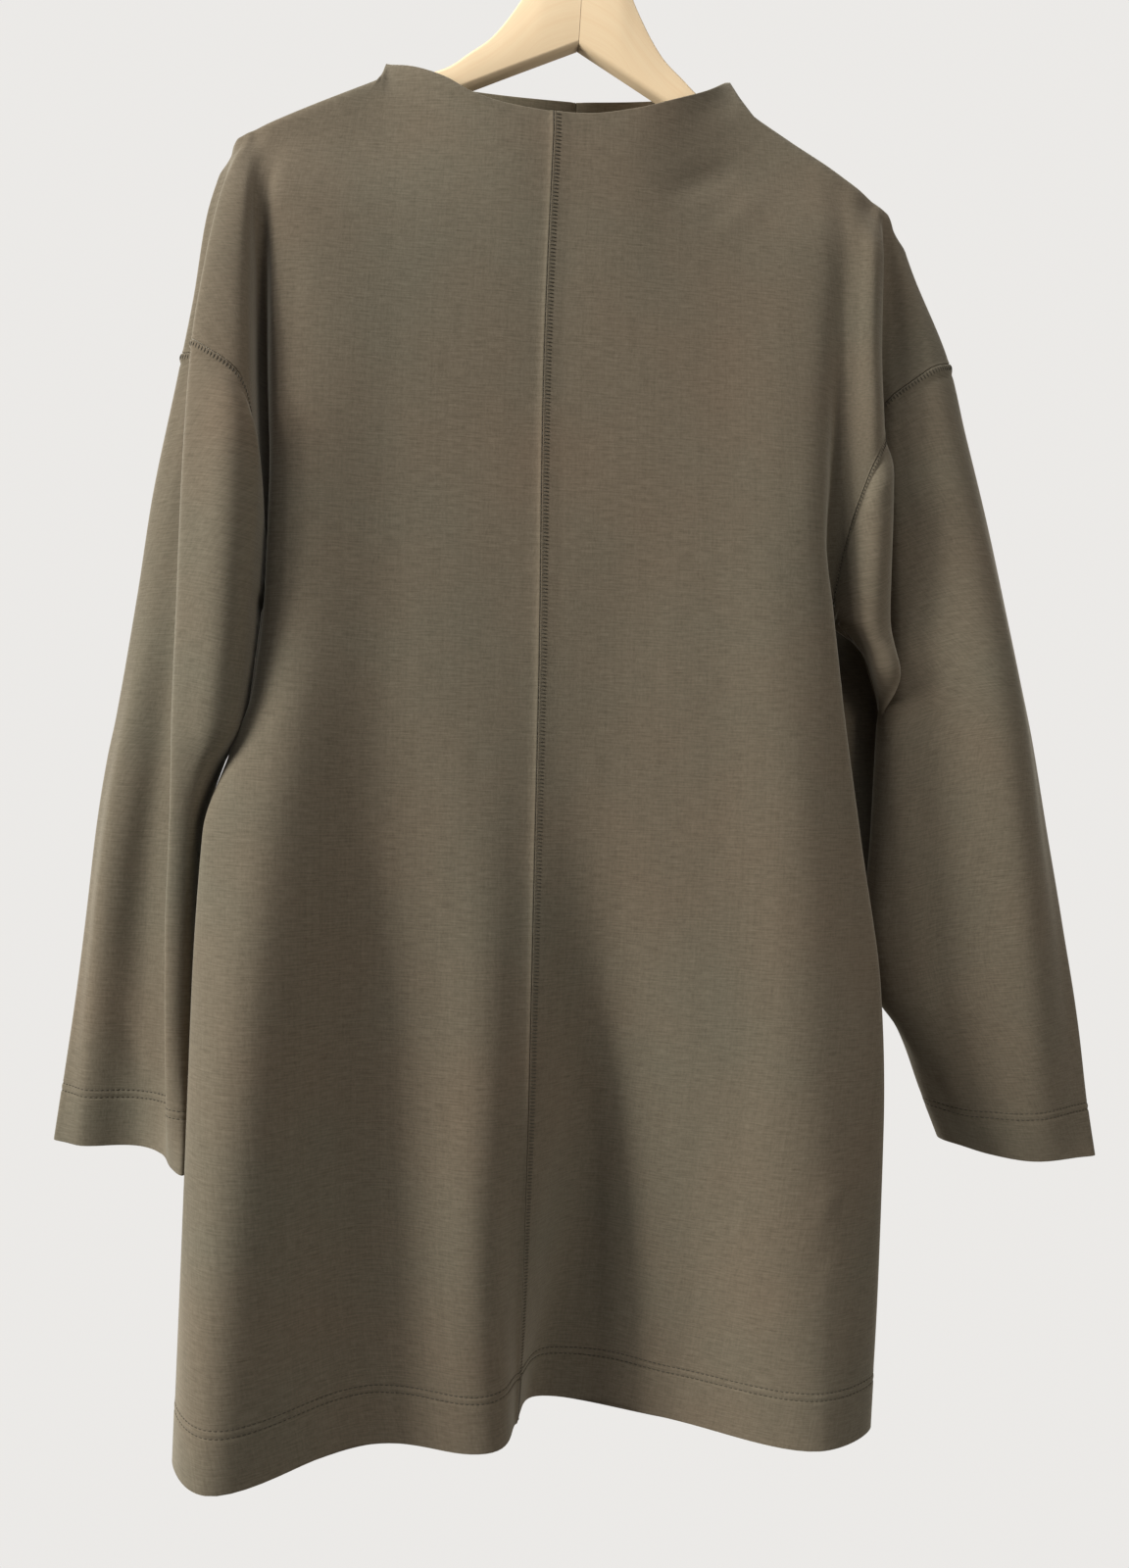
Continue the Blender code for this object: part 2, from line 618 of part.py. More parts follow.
def wall_mesh(name, points, normals, pull, quads):
    """A closed wall: the surface moved out and in by half the wall, and a rim round its open edges.

    Each stretch of the rim is split from the outer side of its lower end, so that the rims of two
    pieces that meet at a seam stay parallel where the cloth twists.
    """
    used, quads = np.unique(quads, return_inverse=True)
    quads = quads.reshape(-1, 4)
    height = points[used, 2]
    points, normals = (points + pull)[used], normals[used]
    count = len(points)
    outer, inner = points + normals * WALL / 2, points - normals * WALL / 2
    edges = np.concatenate([np.stack([quads[:, k], quads[:, (k + 1) % 4]], axis=1) for k in range(4)])
    _, first, uses = np.unique(np.sort(edges, axis=1), axis=0, return_index=True, return_counts=True)
    rim = edges[first[uses == 1]]
    start, end = rim.T
    rising = height[start] < height[end]
    start_in, end_in = start + count, end + count
    near_half = np.stack([end, start, np.where(rising, end_in, start_in)], axis=1)
    far_half = np.stack([np.where(rising, start, end), start_in, end_in], axis=1)
    rims = near_half.tolist() + far_half.tolist()
    mesh = bpy.data.meshes.new(name)
    faces = quads.tolist() + (quads[:, ::-1] + count).tolist() + rims
    mesh.from_pydata(np.concatenate([outer, inner]) * MM, [], faces)
    mesh.validate()
    return mesh


def make_panels():
    """The eight pieces of the dress, each with its grid of points and its faces."""
    panels = []
    for half, hand in ((1, "right"), (-1, "left")):
        for face in ("front", "back"):
            for kind, maker in (("body", body_panel), ("sleeve", sleeve_panel)):
                grid = maker(half, face)
                name = f"{face}_{hand}" if kind == "body" else f"sleeve_{face}_{hand}"
                quads = faces_of(grid, flip=(half == 1) != (face == "front"))
                panels.append({"name": name, "kind": kind, "grid": grid, "quads": quads})
    return panels


def add_object(name, data, material, collection):
    """A named object in the collection, with its material."""
    piece = bpy.data.objects.new(name, data)
    data.materials.append(material)
    collection.objects.link(piece)
    return piece


def add_dress(material, collection):
    """The cut pieces of the dress, each a wall of its own, a seam's gap apart."""
    panels = make_panels()
    for panel, normals in zip(panels, shared_normals(panels)):
        pull = seam_pull(panel["kind"], panel["grid"], normals)
        arrays = (panel["grid"].reshape(-1, 3), normals.reshape(-1, 3), pull.reshape(-1, 3))
        mesh = wall_mesh(panel["name"], *arrays, panel["quads"])
        add_object(panel["name"], mesh, material, collection)
        mesh.shade_smooth()
        mesh.set_sharp_from_angle(angle=radians(50))


def arm_outline(half):
    """One arm's outline in x and z: along its upper edge, round its end and back along its lower edge.

    The end is a half ellipse, sheared to the slope of the upper edge.
    """
    x = np.concatenate([np.linspace(0, 100, 15), np.linspace(115, WOOD_END_X, 5)])
    top = read_table(WOOD_TOP, x)[..., 0, 0]
    under_x = np.linspace(WOOD_END_X, 0, 10)
    under = read_table(WOOD_BOTTOM, under_x)[..., 0, 0]
    turn = np.linspace(pi / 2, -pi / 2, 9)[1:-1]
    middle, half_height = (top[-1] + under[0]) / 2, (top[-1] - under[0]) / 2
    end_x = WOOD_END_X + WOOD_END_DEPTH * np.cos(turn)
    slope = (top[-1] - top[-2]) / (x[-1] - x[-2])
    end_z = middle + half_height * np.sin(turn) + slope * WOOD_END_DEPTH * np.cos(turn)
    outline_x = np.concatenate([x, end_x, under_x])
    outline_z = np.concatenate([top, end_z, under])
    turned_x, turned_z = tilted(half * outline_x, outline_z)
    return turned_x + half * SEAM_GAP / 2, turned_z


def add_arm(half, name, material, collection):
    """One wooden arm: a flat outline given its thickness, with rounded edges."""
    x, z = arm_outline(half)
    curve = bpy.data.curves.new(name, "CURVE")
    curve.dimensions = "2D"
    curve.fill_mode = "BOTH"
    curve.extrude = (WOOD_THICK / 2 - WOOD_ROUNDING) * MM
    curve.bevel_depth = WOOD_ROUNDING * MM
    curve.bevel_resolution = 1
    curve.offset = -WOOD_ROUNDING * MM
    spline = curve.splines.new("POLY")
    spline.points.add(len(x) - 1)
    for point, across, up in zip(spline.points, x, z):
        point.co = (across * MM, up * MM, 0, 1)
    spline.use_cyclic_u = True
    arm = add_object(name, curve, material, collection)
    arm.rotation_euler = (pi / 2, 0, 0)


def wire_route():
    """The hook's middle line in x and z: a straight stem, a soft bend, then an arc over the top."""
    wood_x, wood_z = tilted(0, WOOD_TOP[0][1][0])
    lean = tan(WOOD_TILT)
    stem = [(wood_x + rise * lean, wood_z + SEAT_GAP + rise) for rise in STEM_RISES]
    centre = (0, WIRE_RADIUS - HOOK_RADIUS)
    angles = np.radians(np.linspace(HOOK_START, HOOK_END, 22))
    arc = [(centre[0] + HOOK_RADIUS * cos(a), centre[1] + HOOK_RADIUS * sin(a)) for a in angles]
    bend_from, bend_to = np.array(stem[-1]), np.array(arc[0])
    rising = np.array([lean, 1]) * STEM_LEAVE
    turning = np.array([sin(-angles[0]), cos(angles[0])]) * ARC_ARRIVE
    between = [tuple(bend(bend_from, rising, bend_to, turning, t)) for t in (0.2, 0.4, 0.6, 0.8)]
    return stem + between + arc


def add_hook(material, collection):
    """The steel hook: one bent wire that stands on the joint of the two arms."""
    route = wire_route()
    curve = bpy.data.curves.new("hanger_hook", "CURVE")
    curve.dimensions = "3D"
    curve.bevel_depth = WIRE_RADIUS * MM
    curve.bevel_resolution = 2
    curve.use_fill_caps = True
    spline = curve.splines.new("POLY")
    spline.points.add(len(route) - 1)
    for point, (x, z) in zip(spline.points, route):
        point.co = (x * MM, 0, z * MM, 1)
    add_object("hanger_hook", curve, material, collection)


def make_material(name, colour, roughness, metallic):
    """A plain material with the piece's colour."""
    material = bpy.data.materials.new(name)
    material.use_nodes = True
    shader = material.node_tree.nodes["Principled BSDF"]
    shader.inputs["Base Color"].default_value = (*colour, 1)
    shader.inputs["Roughness"].default_value = roughness
    shader.inputs["Metallic"].default_value = metallic
    return material


def main():
    for thing in list(bpy.data.objects):
        bpy.data.objects.remove(thing)
    collection = bpy.data.collections.new("knit_dress")
    bpy.context.scene.collection.children.link(collection)
    knit = make_material("olive_knit", (0.115, 0.1, 0.07), 0.95, 0)
    wood = make_material("light_wood", (0.78, 0.5, 0.28), 0.5, 0)
    steel = make_material("steel_wire", (0.6, 0.6, 0.6), 0.3, 1)
    add_dress(knit, collection)
    add_arm(1, "hanger_arm_right", wood, collection)
    add_arm(-1, "hanger_arm_left", wood, collection)
    add_hook(steel, collection)


main()
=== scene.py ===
# %% [markdown]
# # A knit dress on a wooden hanger
# The dress is made of eight cut pieces of a smooth, thick double knit. It hangs from a wooden
# hanger, so every piece is a thin wall of cloth that runs down in long soft folds. This lesson builds
# each piece as a surface: a grid of points worked out from two numbers, the place across the cloth
# and the height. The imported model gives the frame, and each new piece stands for one of its nodes.

# %% Load the frame
from math import cos, pi, radians, sin, tan

import bpy
import numpy as np
from mathutils import Matrix


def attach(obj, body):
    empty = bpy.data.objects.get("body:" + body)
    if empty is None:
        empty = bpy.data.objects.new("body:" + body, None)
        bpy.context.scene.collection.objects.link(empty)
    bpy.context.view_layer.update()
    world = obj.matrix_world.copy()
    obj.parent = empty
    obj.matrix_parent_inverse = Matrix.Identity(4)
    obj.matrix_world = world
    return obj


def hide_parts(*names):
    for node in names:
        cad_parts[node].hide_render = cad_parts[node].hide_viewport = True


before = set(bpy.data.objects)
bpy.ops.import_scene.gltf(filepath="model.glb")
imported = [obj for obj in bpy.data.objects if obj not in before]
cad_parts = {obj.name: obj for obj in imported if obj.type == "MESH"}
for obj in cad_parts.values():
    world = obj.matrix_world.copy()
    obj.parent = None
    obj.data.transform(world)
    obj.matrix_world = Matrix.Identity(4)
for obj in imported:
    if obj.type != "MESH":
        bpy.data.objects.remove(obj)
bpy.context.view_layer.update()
print("nodes:", ", ".join(sorted(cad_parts)))

MM = 0.001
BODY = "root"

# %% [markdown]
# The picture was taken from in front of the dress, a little to its left, 0.8 m away and at half its
# height. The camera looks slightly to the right and down, and it is rolled by a couple of degrees. Its
# axes are worked out from those three angles and put into one matrix.

# %% Camera
CAMERA_PLACE = (-0.0736, -0.7995, -0.5845)
CAMERA_YAW, CAMERA_PITCH, CAMERA_ROLL = radians(6), radians(2), radians(2.2)
LENS_MM, SENSOR_MM = 27.05, 36


def camera_axes(yaw, pitch, roll):
    """Right, up and backwards of a camera that first looks along +Y, then turns by the three angles."""
    ahead = np.array([sin(yaw) * cos(pitch), cos(yaw) * cos(pitch), -sin(pitch)])
    right = np.array([cos(yaw), -sin(yaw), 0])
    up = np.cross(right, ahead)
    return cos(roll) * right + sin(roll) * up, cos(roll) * up - sin(roll) * right, -ahead


def make_camera():
    """The scene's camera, with its depth of field off."""
    data = bpy.data.cameras.new("camera")
    data.lens, data.sensor_width = LENS_MM, SENSOR_MM
    data.clip_start, data.clip_end = 0.05, 50
    camera = bpy.data.objects.new("camera", data)
    bpy.context.scene.collection.objects.link(camera)
    matrix = np.eye(4)
    matrix[:3, :3] = np.transpose(camera_axes(CAMERA_YAW, CAMERA_PITCH, CAMERA_ROLL))
    matrix[:3, 3] = CAMERA_PLACE
    camera.matrix_world = Matrix(matrix.tolist())
    bpy.context.scene.camera = camera
    return camera


camera = make_camera()
print("camera at", CAMERA_PLACE)

# %% [markdown]
# The room has a window on the left, so folds that face left are bright and those that face right are
# dark. Two soft lights stand for the window's middle and its top. A weaker light on the right stands
# for the far wall and one above for the ceiling. Two lights behind stand for the pale wall there, so
# that the back can be seen as well. The floor is plain, pale and well below the hem.

# %% Lights, sky and floor
FLOOR_Z, FLOOR_SIDE, FLOOR_COLOUR = -2.15, 2.4, (0.52, 0.52, 0.51, 1)
DRESS_MIDDLE = (0, 0, -0.6)
SKY_SEEN = ((0.86, 0.845, 0.825), 0.97)
SKY_CAST = ((0.95, 0.96, 1.0), 0.05)

# Each light's name, place, side length, power and colour
LIGHTS = (
    ("window", (-5.8, -1.66, 0.68), 1.8, 400, (1.0, 0.975, 0.92)),
    ("window_top", (-4.8, -2.34, 2.48), 1.8, 195, (1.0, 0.985, 0.95)),
    ("far_wall", (2.112, -1.772, -0.114), 1.5, 24, (1.0, 0.95, 0.88)),
    ("ceiling", (-0.328, -0.9, 2.031), 1.5, 25, (0.97, 0.98, 1.0)),
    ("wall_left", (-2.4, 2.6, 0.5), 1.8, 75, (1.0, 0.98, 0.95)),
    ("wall_right", (2.4, 2.6, 0.2), 1.8, 40, (1.0, 0.96, 0.9)),
)


def make_light(name, place, size, power, colour):
    """A square area light that faces the dress's middle."""
    data = bpy.data.lights.new(name, "AREA")
    data.shape, data.size, data.energy, data.color = "SQUARE", size, power, colour
    lamp = bpy.data.objects.new(name, data)
    bpy.context.scene.collection.objects.link(lamp)
    back = np.array(place) - np.array(DRESS_MIDDLE)
    back /= np.linalg.norm(back)
    side = np.cross((0, 0, 1), back)
    side /= np.linalg.norm(side)
    axes = np.stack([side, np.cross(back, side), back], axis=1)
    lamp.rotation_mode = "QUATERNION"
    lamp.location = place
    lamp.rotation_quaternion = Matrix(axes.tolist()).to_quaternion()


def make_sky(seen, cast):
    """A plain pale sky: what the camera sees of it, and how strongly it lights the scene."""
    world = bpy.data.worlds.new("sky")
    world.use_nodes = True
    nodes, links = world.node_tree.nodes, world.node_tree.links
    nodes.clear()
    output = nodes.new("ShaderNodeOutputWorld")
    mix = nodes.new("ShaderNodeMixShader")
    path = nodes.new("ShaderNodeLightPath")
    for slot_index, (colour, strength) in enumerate((cast, seen)):
        background = nodes.new("ShaderNodeBackground")
        background.inputs["Color"].default_value = (*colour, 1)
        background.inputs["Strength"].default_value = strength
        links.new(background.outputs["Background"], mix.inputs[1 + slot_index])
    links.new(path.outputs["Is Camera Ray"], mix.inputs["Fac"])
    links.new(mix.outputs["Shader"], output.inputs["Surface"])
    bpy.context.scene.world = world


def make_floor():
    """A square of pale floor."""
    half = FLOOR_SIDE / 2
    mesh = bpy.data.meshes.new("floor")
    corners = [(x * half, y * half, FLOOR_Z) for x, y in ((-1, -1), (1, -1), (1, 1), (-1, 1))]
    mesh.from_pydata(corners, [], [(0, 1, 2, 3)])
    floor = bpy.data.objects.new("floor", mesh)
    bpy.context.scene.collection.objects.link(floor)
    material = bpy.data.materials.new("pale_floor")
    material.use_nodes = True
    material.node_tree.nodes["Principled BSDF"].inputs["Base Color"].default_value = FLOOR_COLOUR
    mesh.materials.append(material)


for light in LIGHTS:
    make_light(*light)
make_sky(seen=SKY_SEEN, cast=SKY_CAST)
make_floor()
bpy.context.scene.view_settings.view_transform = "Standard"

# %% [markdown]
# A hanging dress is described well by its folds. Each fold line runs down the cloth, so a table can
# hold it: one row for each height, with the fold's place from left to right and from front to back. A
# section of the dress at any height is then a smooth curve through the fold lines. The tables are in
# millimetres, from the inside top of the hook. A column of the cloth is numbered by its place across
# a half: 0 at the centre seam, 2 at the neck tip, 6 at the side seam, 12 at the sleeve's outer edge.

# %% Sizes and fold tables
# Cloth
WALL = 1.6
SEAM_GAP = 0.3
SHOULDER_SHIFT = 16
NECK_ROLL, SHOULDER_ROLL = 30, 8
NECK_POWER, SHOULDER_POWER = 1.5, 4
ROLL_EASE = 0.4
HEM_Z = -1052
CUFF_Z = -870
UNDERARM_Z = -497
UNDERARM_BLEND = 40
ARMHOLE_RISE = {1: 187, -1: 161}
SLEEVE_LEVEL_Z = -540

# Hanger
WOOD_THICK = 12
WOOD_ROUNDING = 3.5
WOOD_TILT = radians(1.45)
WOOD_JOINT = (0, -135)
WOOD_END_DEPTH = 7
SEAT_GAP = 0.4
WIRE_RADIUS = 1.75
HOOK_RADIUS = 20
HOOK_START, HOOK_END = -48, 205
STEM_RISES = (0, 5, 10)
STEM_LEAVE, ARC_ARRIVE = 20, 14

# Places across a half of the dress, and where the back's fold lines lie on the same scale
NECK_TIP, SIDE = 2, 6
BACK_BODY_PLACES = (0, 2, 3, 4, 5, 6)
BACK_SLEEVE_PLACES = (6, 7.5, 9, 10.5, 12)

# Each table row is a height z, then x and y of each fold line at that height. The left half's x is
# counted outwards from the middle too, and mirrored when it is read.
CENTRE_FRONT = (
    (-150, (-15, -28)), (-320, (-17, -33)), (-550, (-13, -40)), (-800, (-10, -40)), (-900, (-9, -32)),
    (-1000, (-8, -18)), (-1052, (-8, -9)),
)
CENTRE_BACK = (
    (-142, (3, 28)), (-400, (2, 36)), (-1052, (0, 45)),
)

BODY_FRONT_FOLDS = ("inner", "mid", "crest", "edge", "tuck", "side")
BODY_FRONT = {
    1: (
        (-150, (45, -27), (104, -12), (150, -11), (166, -11), (178, -11), (188, -11)),
        (-200, (38, -29), (104, -18), (150, -16), (166, -16), (178, -15), (188, -14)),
        (-250, (38, -31), (100, -27), (150, -26), (168, -25), (182, -22), (192, -23)),
        (-310, (38, -33), (95, -32), (146, -31), (167, -29), (181, -23), (191, -25)),
        (-370, (38, -35), (95, -35), (144, -35), (168, -31), (180, -20), (190, -24)),
        (-430, (38, -37), (95, -38), (143, -38), (168, -33), (179, -15), (188, -18)),
        (-497, (38, -38), (95, -41), (146, -41), (179, -32), (184, -8), (189, -6)),
        (-560, (38, -39), (98, -43), (155, -44), (190, -33), (185, -12), (189, 1)),
        (-640, (38, -38), (100, -43), (168, -46), (206, -34), (201, -14), (203, 2)),
        (-740, (37, -30), (102, -40), (180, -48), (226, -34), (222, -16), (221, 2)),
        (-840, (34, -15), (100, -32), (186, -50), (234, -32), (233, -14), (231, 4)),
        (-950, (23, 6), (98, -20), (190, -50), (236, -30), (236, -12), (233, 6)),
        (-1052, (6, 23), (95, -6), (194, -49), (237, -26), (239, -10), (236, 7)),
    ),
    -1: (
        (-150, (62, -27), (125, -12), (150, -11), (170, -11), (184, -11), (194, -11)),
        (-200, (50, -29), (122, -18), (160, -16), (178, -15), (190, -14), (198, -13)),
        (-250, (45, -31), (115, -28), (172, -28), (190, -26), (197, -22), (203, -23)),
        (-300, (45, -33), (110, -33), (173, -33), (189, -28), (196, -15), (201, -20)),
        (-345, (45, -35), (105, -36), (171, -36), (188, -29), (195, -9), (200, -18)),
        (-430, (45, -38), (105, -39), (168, -40), (185, -32), (190, -5), (195, -14)),
        (-497, (45, -40), (105, -42), (166, -43), (185, -33), (188, -8), (191, -6)),
        (-560, (45, -42), (105, -44), (170, -47), (190, -34), (188, -12), (190, 3)),
        (-600, (45, -43), (106, -44), (175, -50), (203, -36), (201, -14), (201, 4)),
        (-650, (45, -44), (107, -44), (184, -54), (219, -39), (217, -16), (216, 5)),
        (-740, (44, -46), (108, -41), (191, -62), (222, -42), (220, -18), (219, 6)),
        (-860, (40, -46), (109, -37), (197, -68), (223, -46), (221, -20), (220, 6)),
        (-1052, (22, -39), (104, -30), (201, -77), (227, -45), (225, -20), (222, 8)),
    ),
}

BODY_BACK_FOLDS = ("mid", "crest", "edge", "wing", "pit")
BODY_BACK = {
    1: (
        (-150, (104, 14), (150, 11), (170, 11), (182, 11), (192, 11)),
        (-200, (102, 20), (150, 17), (170, 16), (182, 15), (192, 14)),
        (-250, (95, 29), (150, 28), (172, 27), (185, 26), (196, 25)),
        (-360, (75, 35), (150, 34), (176, 33), (190, 31), (204, 29)),
        (-430, (75, 37), (150, 37), (182, 35), (198, 30), (206, 25)),
        (-470, (75, 38), (158, 38), (208, 32), (206, 18), (194, 4)),
        (-497, (75, 39), (165, 39), (216, 31), (206, 15), (189, -6)),
        (-560, (75, 40), (188, 40), (244, 32), (220, 15), (189, 1)),
        (-620, (75, 41), (192, 43), (248, 34), (226, 17), (203, 2)),
        (-720, (75, 42), (192, 44), (247, 33), (231, 17), (214, 2)),
        (-840, (75, 43), (195, 44), (238, 31), (238, 16), (231, 4)),
        (-1052, (75, 45), (195, 45), (238, 31), (242, 18), (236, 7)),
    ),
    -1: (
        (-150, (125, 14), (150, 11), (172, 11), (186, 11), (196, 11)),
        (-200, (120, 20), (155, 17), (176, 16), (190, 15), (200, 14)),
        (-250, (110, 29), (155, 29), (178, 28), (194, 27), (204, 25)),
        (-345, (75, 35), (155, 35), (182, 34), (200, 34), (211, 33)),
        (-430, (75, 37), (155, 38), (184, 37), (200, 36), (210, 34)),
        (-470, (75, 38), (160, 39), (192, 33), (200, 20), (198, 6)),
        (-497, (75, 39), (165, 39), (196, 32), (200, 15), (191, -6)),
        (-560, (75, 41), (170, 41), (211, 33), (202, 16), (190, 3)),
        (-650, (75, 42), (178, 43), (223, 35), (221, 18), (206, 4)),
        (-740, (75, 43), (182, 45), (225, 36), (224, 18), (214, 5)),
        (-1052, (75, 46), (187, 48), (216, 38), (224, 18), (222, 8)),
    ),
}

SLEEVE_FRONT_FOLDS = ("lobe", "lip", "groove", "rise", "outer", "ridge")
SLEEVE_FRONT = {
    1: (
        (-213, (200, -11), (206, -11), (211, -10.5), (215, -9.5), (219, -6), (222, 0)),
        (-250, (202, -25), (209, -20), (213, -10), (218, -8), (227, -8), (238, 1)),
        (-310, (203, -28), (211, -20), (216, -5), (225, -6), (250, -11), (268, 2)),
        (-360, (206, -30), (215, -21), (219, -2), (229, -9), (263, -13), (284, 4)),
        (-430, (208, -30), (221, -19), (224, 1), (234, -11), (281, -14), (306, 5)),
        (-497, (210, -28), (227, -17), (229, 2), (238, -13), (297, -16), (325, 6)),
        (-530, (227, -20), (232, -12), (232, 1), (241, -14), (305, -17), (334, 6)),
        (-570, (231, 5), (230, -1), (232, -7), (246, -15), (315, -16), (345, 6)),
        (-640, (232, 9), (230, 1), (234, -7), (252, -14), (328, -14), (361, 6)),
        (-700, (231, 11), (229, 3), (233, -5), (252, -12), (342, -12), (375, 6)),
        (-755, (243, 15), (241, 8), (244, 0), (262, -9), (352, -10), (387, 5)),
        (-780, (262, 20), (260, 12), (262, 4), (278, -5), (357, -9), (392, 5)),
        (-830, (287, 32), (287, 25), (292, 17), (307, 4), (368, -5), (401, 5)),
        (-870, (309, 45), (310, 37), (318, 27), (334, 11), (378, 0), (409, 4)),
    ),
    -1: (
        (-205, (204, -11), (209, -11), (213, -10), (216, -9), (219, -6), (222, 0)),
        (-222, (209, -19), (216, -18), (220, -12), (222, -8), (225, -4), (229, 2)),
        (-250, (208, -30), (224, -25), (226, -14), (228, -6), (233, 0), (238, 6)),
        (-300, (207, -38), (231, -34), (229, -16), (234, -3), (240, 4), (246, 12)),
        (-345, (205, -44), (236, -38), (231, -16), (238, 0), (246, 8), (255, 17)),
        (-430, (202, -49), (239, -40), (233, -15), (243, 2), (257, 10), (272, 24)),
        (-497, (205, -52), (240, -41), (234, -15), (246, 2), (262, 12), (281, 26)),
        (-580, (208, -48), (241, -41), (236, -14), (252, 4), (274, 13), (293, 27)),
        (-606, (222, -42), (241, -40), (236, -13), (254, 4), (278, 13), (298, 28)),
        (-650, (230, -36), (242, -36), (238, -12), (258, 5), (285, 14), (304, 29)),
        (-711, (232, -31), (244, -31), (241, -8), (262, 8), (292, 16), (310, 30)),
        (-780, (232, -28), (243, -28), (243, -4), (264, 10), (296, 18), (317, 31)),
        (-830, (230, -30), (241, -26), (246, 0), (266, 14), (299, 21), (323, 31)),
        (-870, (229, -36), (238, -23), (250, 3), (268, 19), (300, 24), (328, 31)),
    ),
}

SLEEVE_SEAM = {
    1: (
        (-497, (189, -6)), (-503, (202, -6)), (-512, (212, -6)), (-530, (221, -5)), (-570, (236, 10)),
        (-700, (239, 16)), (-755, (251, 20)), (-780, (269, 26)), (-830, (293, 37)), (-870, (315, 50)),
    ),
    -1: (
        (-497, (191, -6)), (-502, (195, -6)), (-530, (198, -6)), (-580, (204, -6)), (-606, (216, -5)),
        (-650, (228, -3)), (-711, (231, 2)), (-780, (232, 4)), (-830, (231, 0)), (-870, (230, -12)),
    ),
}

SLEEVE_BACK_FOLDS = ("inner", "mid", "outer")
SLEEVE_BACK = {
    1: (
        (-150, (200, 10), (208, 8), (216, 6)),
        (-213, (202, 14), (213, 9), (219, 6)),
        (-250, (206, 22), (217, 16), (228, 9)),
        (-310, (216, 24), (236, 21), (256, 13)),
        (-430, (225, 24), (258, 25), (292, 17)),
        (-497, (218, 10), (262, 26), (308, 19)),
        (-530, (232, 12), (272, 26), (317, 19)),
        (-570, (244, 18), (284, 26), (326, 19)),
        (-640, (250, 22), (292, 25), (340, 18)),
        (-700, (250, 24), (300, 25), (352, 17)),
        (-780, (279, 31), (320, 25), (370, 15)),
        (-870, (332, 48), (356, 31), (392, 13)),
    ),
    -1: (
        (-150, (206, 10), (212, 9), (218, 6)),
        (-205, (208, 13), (213, 10), (218, 5)),
        (-250, (214, 22), (222, 18), (230, 12)),
        (-300, (218, 28), (230, 26), (240, 20)),
        (-345, (222, 31), (236, 31), (248, 26)),
        (-430, (220, 34), (244, 36), (263, 34)),
        (-497, (212, 16), (240, 34), (268, 38)),
        (-560, (214, 18), (246, 34), (278, 39)),
        (-650, (240, 20), (263, 34), (292, 41)),
        (-711, (242, 22), (268, 35), (298, 42)),
        (-780, (243, 23), (270, 36), (304, 43)),
        (-870, (240, 9), (264, 32), (312, 43)),
    ),
}

# The neck's edge: the place across, then x, y and z
NECK_FRONT = {
    1: (
        (0, (-16, -28, -179)), (0.5, (6, -28, -178)), (1, (38, -27, -171)), (1.33, (61, -24, -162)),
        (1.67, (86, -15, -149)), (2, (104, 0, -134)),
    ),
    -1: (
        (0, (16, -28, -179)), (0.5, (45, -27, -176)), (1, (68, -25, -170)), (1.33, (87, -20, -159)),
        (1.67, (108, -11, -150)), (2, (125, 0, -145)),
    ),
}
NECK_BACK = {
    1: (
        (0, (3, 28, -142)), (1, (60, 24, -138)), (1.67, (92, 13, -135)), (2, (104, 0, -134)),
    ),
    -1: (
        (0, (-3, 28, -142)), (1, (65, 23, -144)), (1.67, (108, 12, -145)), (2, (125, 0, -145)),
    ),
}

# The shoulder seam: the place across, then x and how far the cloth stands off the wood
SHOULDER = {
    1: (
        (2, (104, 21)), (2.2, (110, 12)), (2.55, (118, 3)), (3, (150, 0)), (4, (170, 0)), (5, (182, 0)),
        (6, (192, 0)), (7, (203, 0)), (8, (208, 0)), (9, (212, 0)), (10, (215.5, 0)), (11, (219, -1.5)),
        (12, (222, -4)),
    ),
    -1: (
        (2, (125, 14)), (2.2, (127, 6)), (2.55, (130, 1)), (3, (150, 0)), (4, (174, 0)), (5, (188, 0)),
        (6, (198, 0)), (7, (206, 0)), (8, (211, 0)), (9, (214, 0)), (10, (217, 0)), (11, (220, -2)),
        (12, (222, -4)),
    ),
}

# The armhole seam: the place across, then how far it has risen, as a share of its whole rise
ARMHOLE = {
    1: (
        (6, (0,)), (6.25, (0.25,)), (6.5, (0.41,)), (7, (0.58,)), (8, (0.69,)), (9, (0.79,)),
        (10, (0.86,)), (11, (0.96,)), (12, (1,)),
    ),
    -1: (
        (6, (0,)), (6.25, (0.28,)), (6.5, (0.52,)), (7, (0.8,)), (7.5, (0.9,)), (8, (0.955,)),
        (9, (0.97,)), (10, (0.98,)), (12, (1,)),
    ),
}

# One arm of the hanger before it tilts: x, then z of its upper edge and of its lower edge
WOOD_TOP = (
    (0, (-60,)), (12, (-62,)), (25, (-70,)), (37.5, (-93.5,)), (49, (-112.5,)), (58.5, (-124.5,)),
    (70.5, (-134.5,)), (85, (-146,)), (112, (-157.5,)), (140, (-170,)), (206, (-205,)),
    (222, (-213.5,)),
)
WOOD_BOTTOM = (
    (0, (-122,)), (60, (-152,)), (205, (-227,)),
)
WOOD_END_X = 205


# %% [markdown]
# A few functions turn the tables into a surface. The first three are a cubic step, a reader that goes
# through a table's rows without overshooting them, and a curve through the fold points of one
# section. The last one, cloth, bends the upper end over the wooden hanger.

# %% From folds to a surface
def bend(start, leave, end, arrive, t):
    """The cubic curve that leaves start along leave and reaches end along arrive, for t from 0 to 1."""
    back = 1 - t
    return (1 + 2 * t) * back**2 * start + t * back**2 * leave + t**2 * ((3 - 2 * t) * end - back * arrive)


def soft_share(length, whole):
    """How much of the whole the length makes up, from 0 to 1, with a soft start and a soft end."""
    share = np.clip(length / whole, 0, 1)
    return share**2 * (3 - 2 * share)


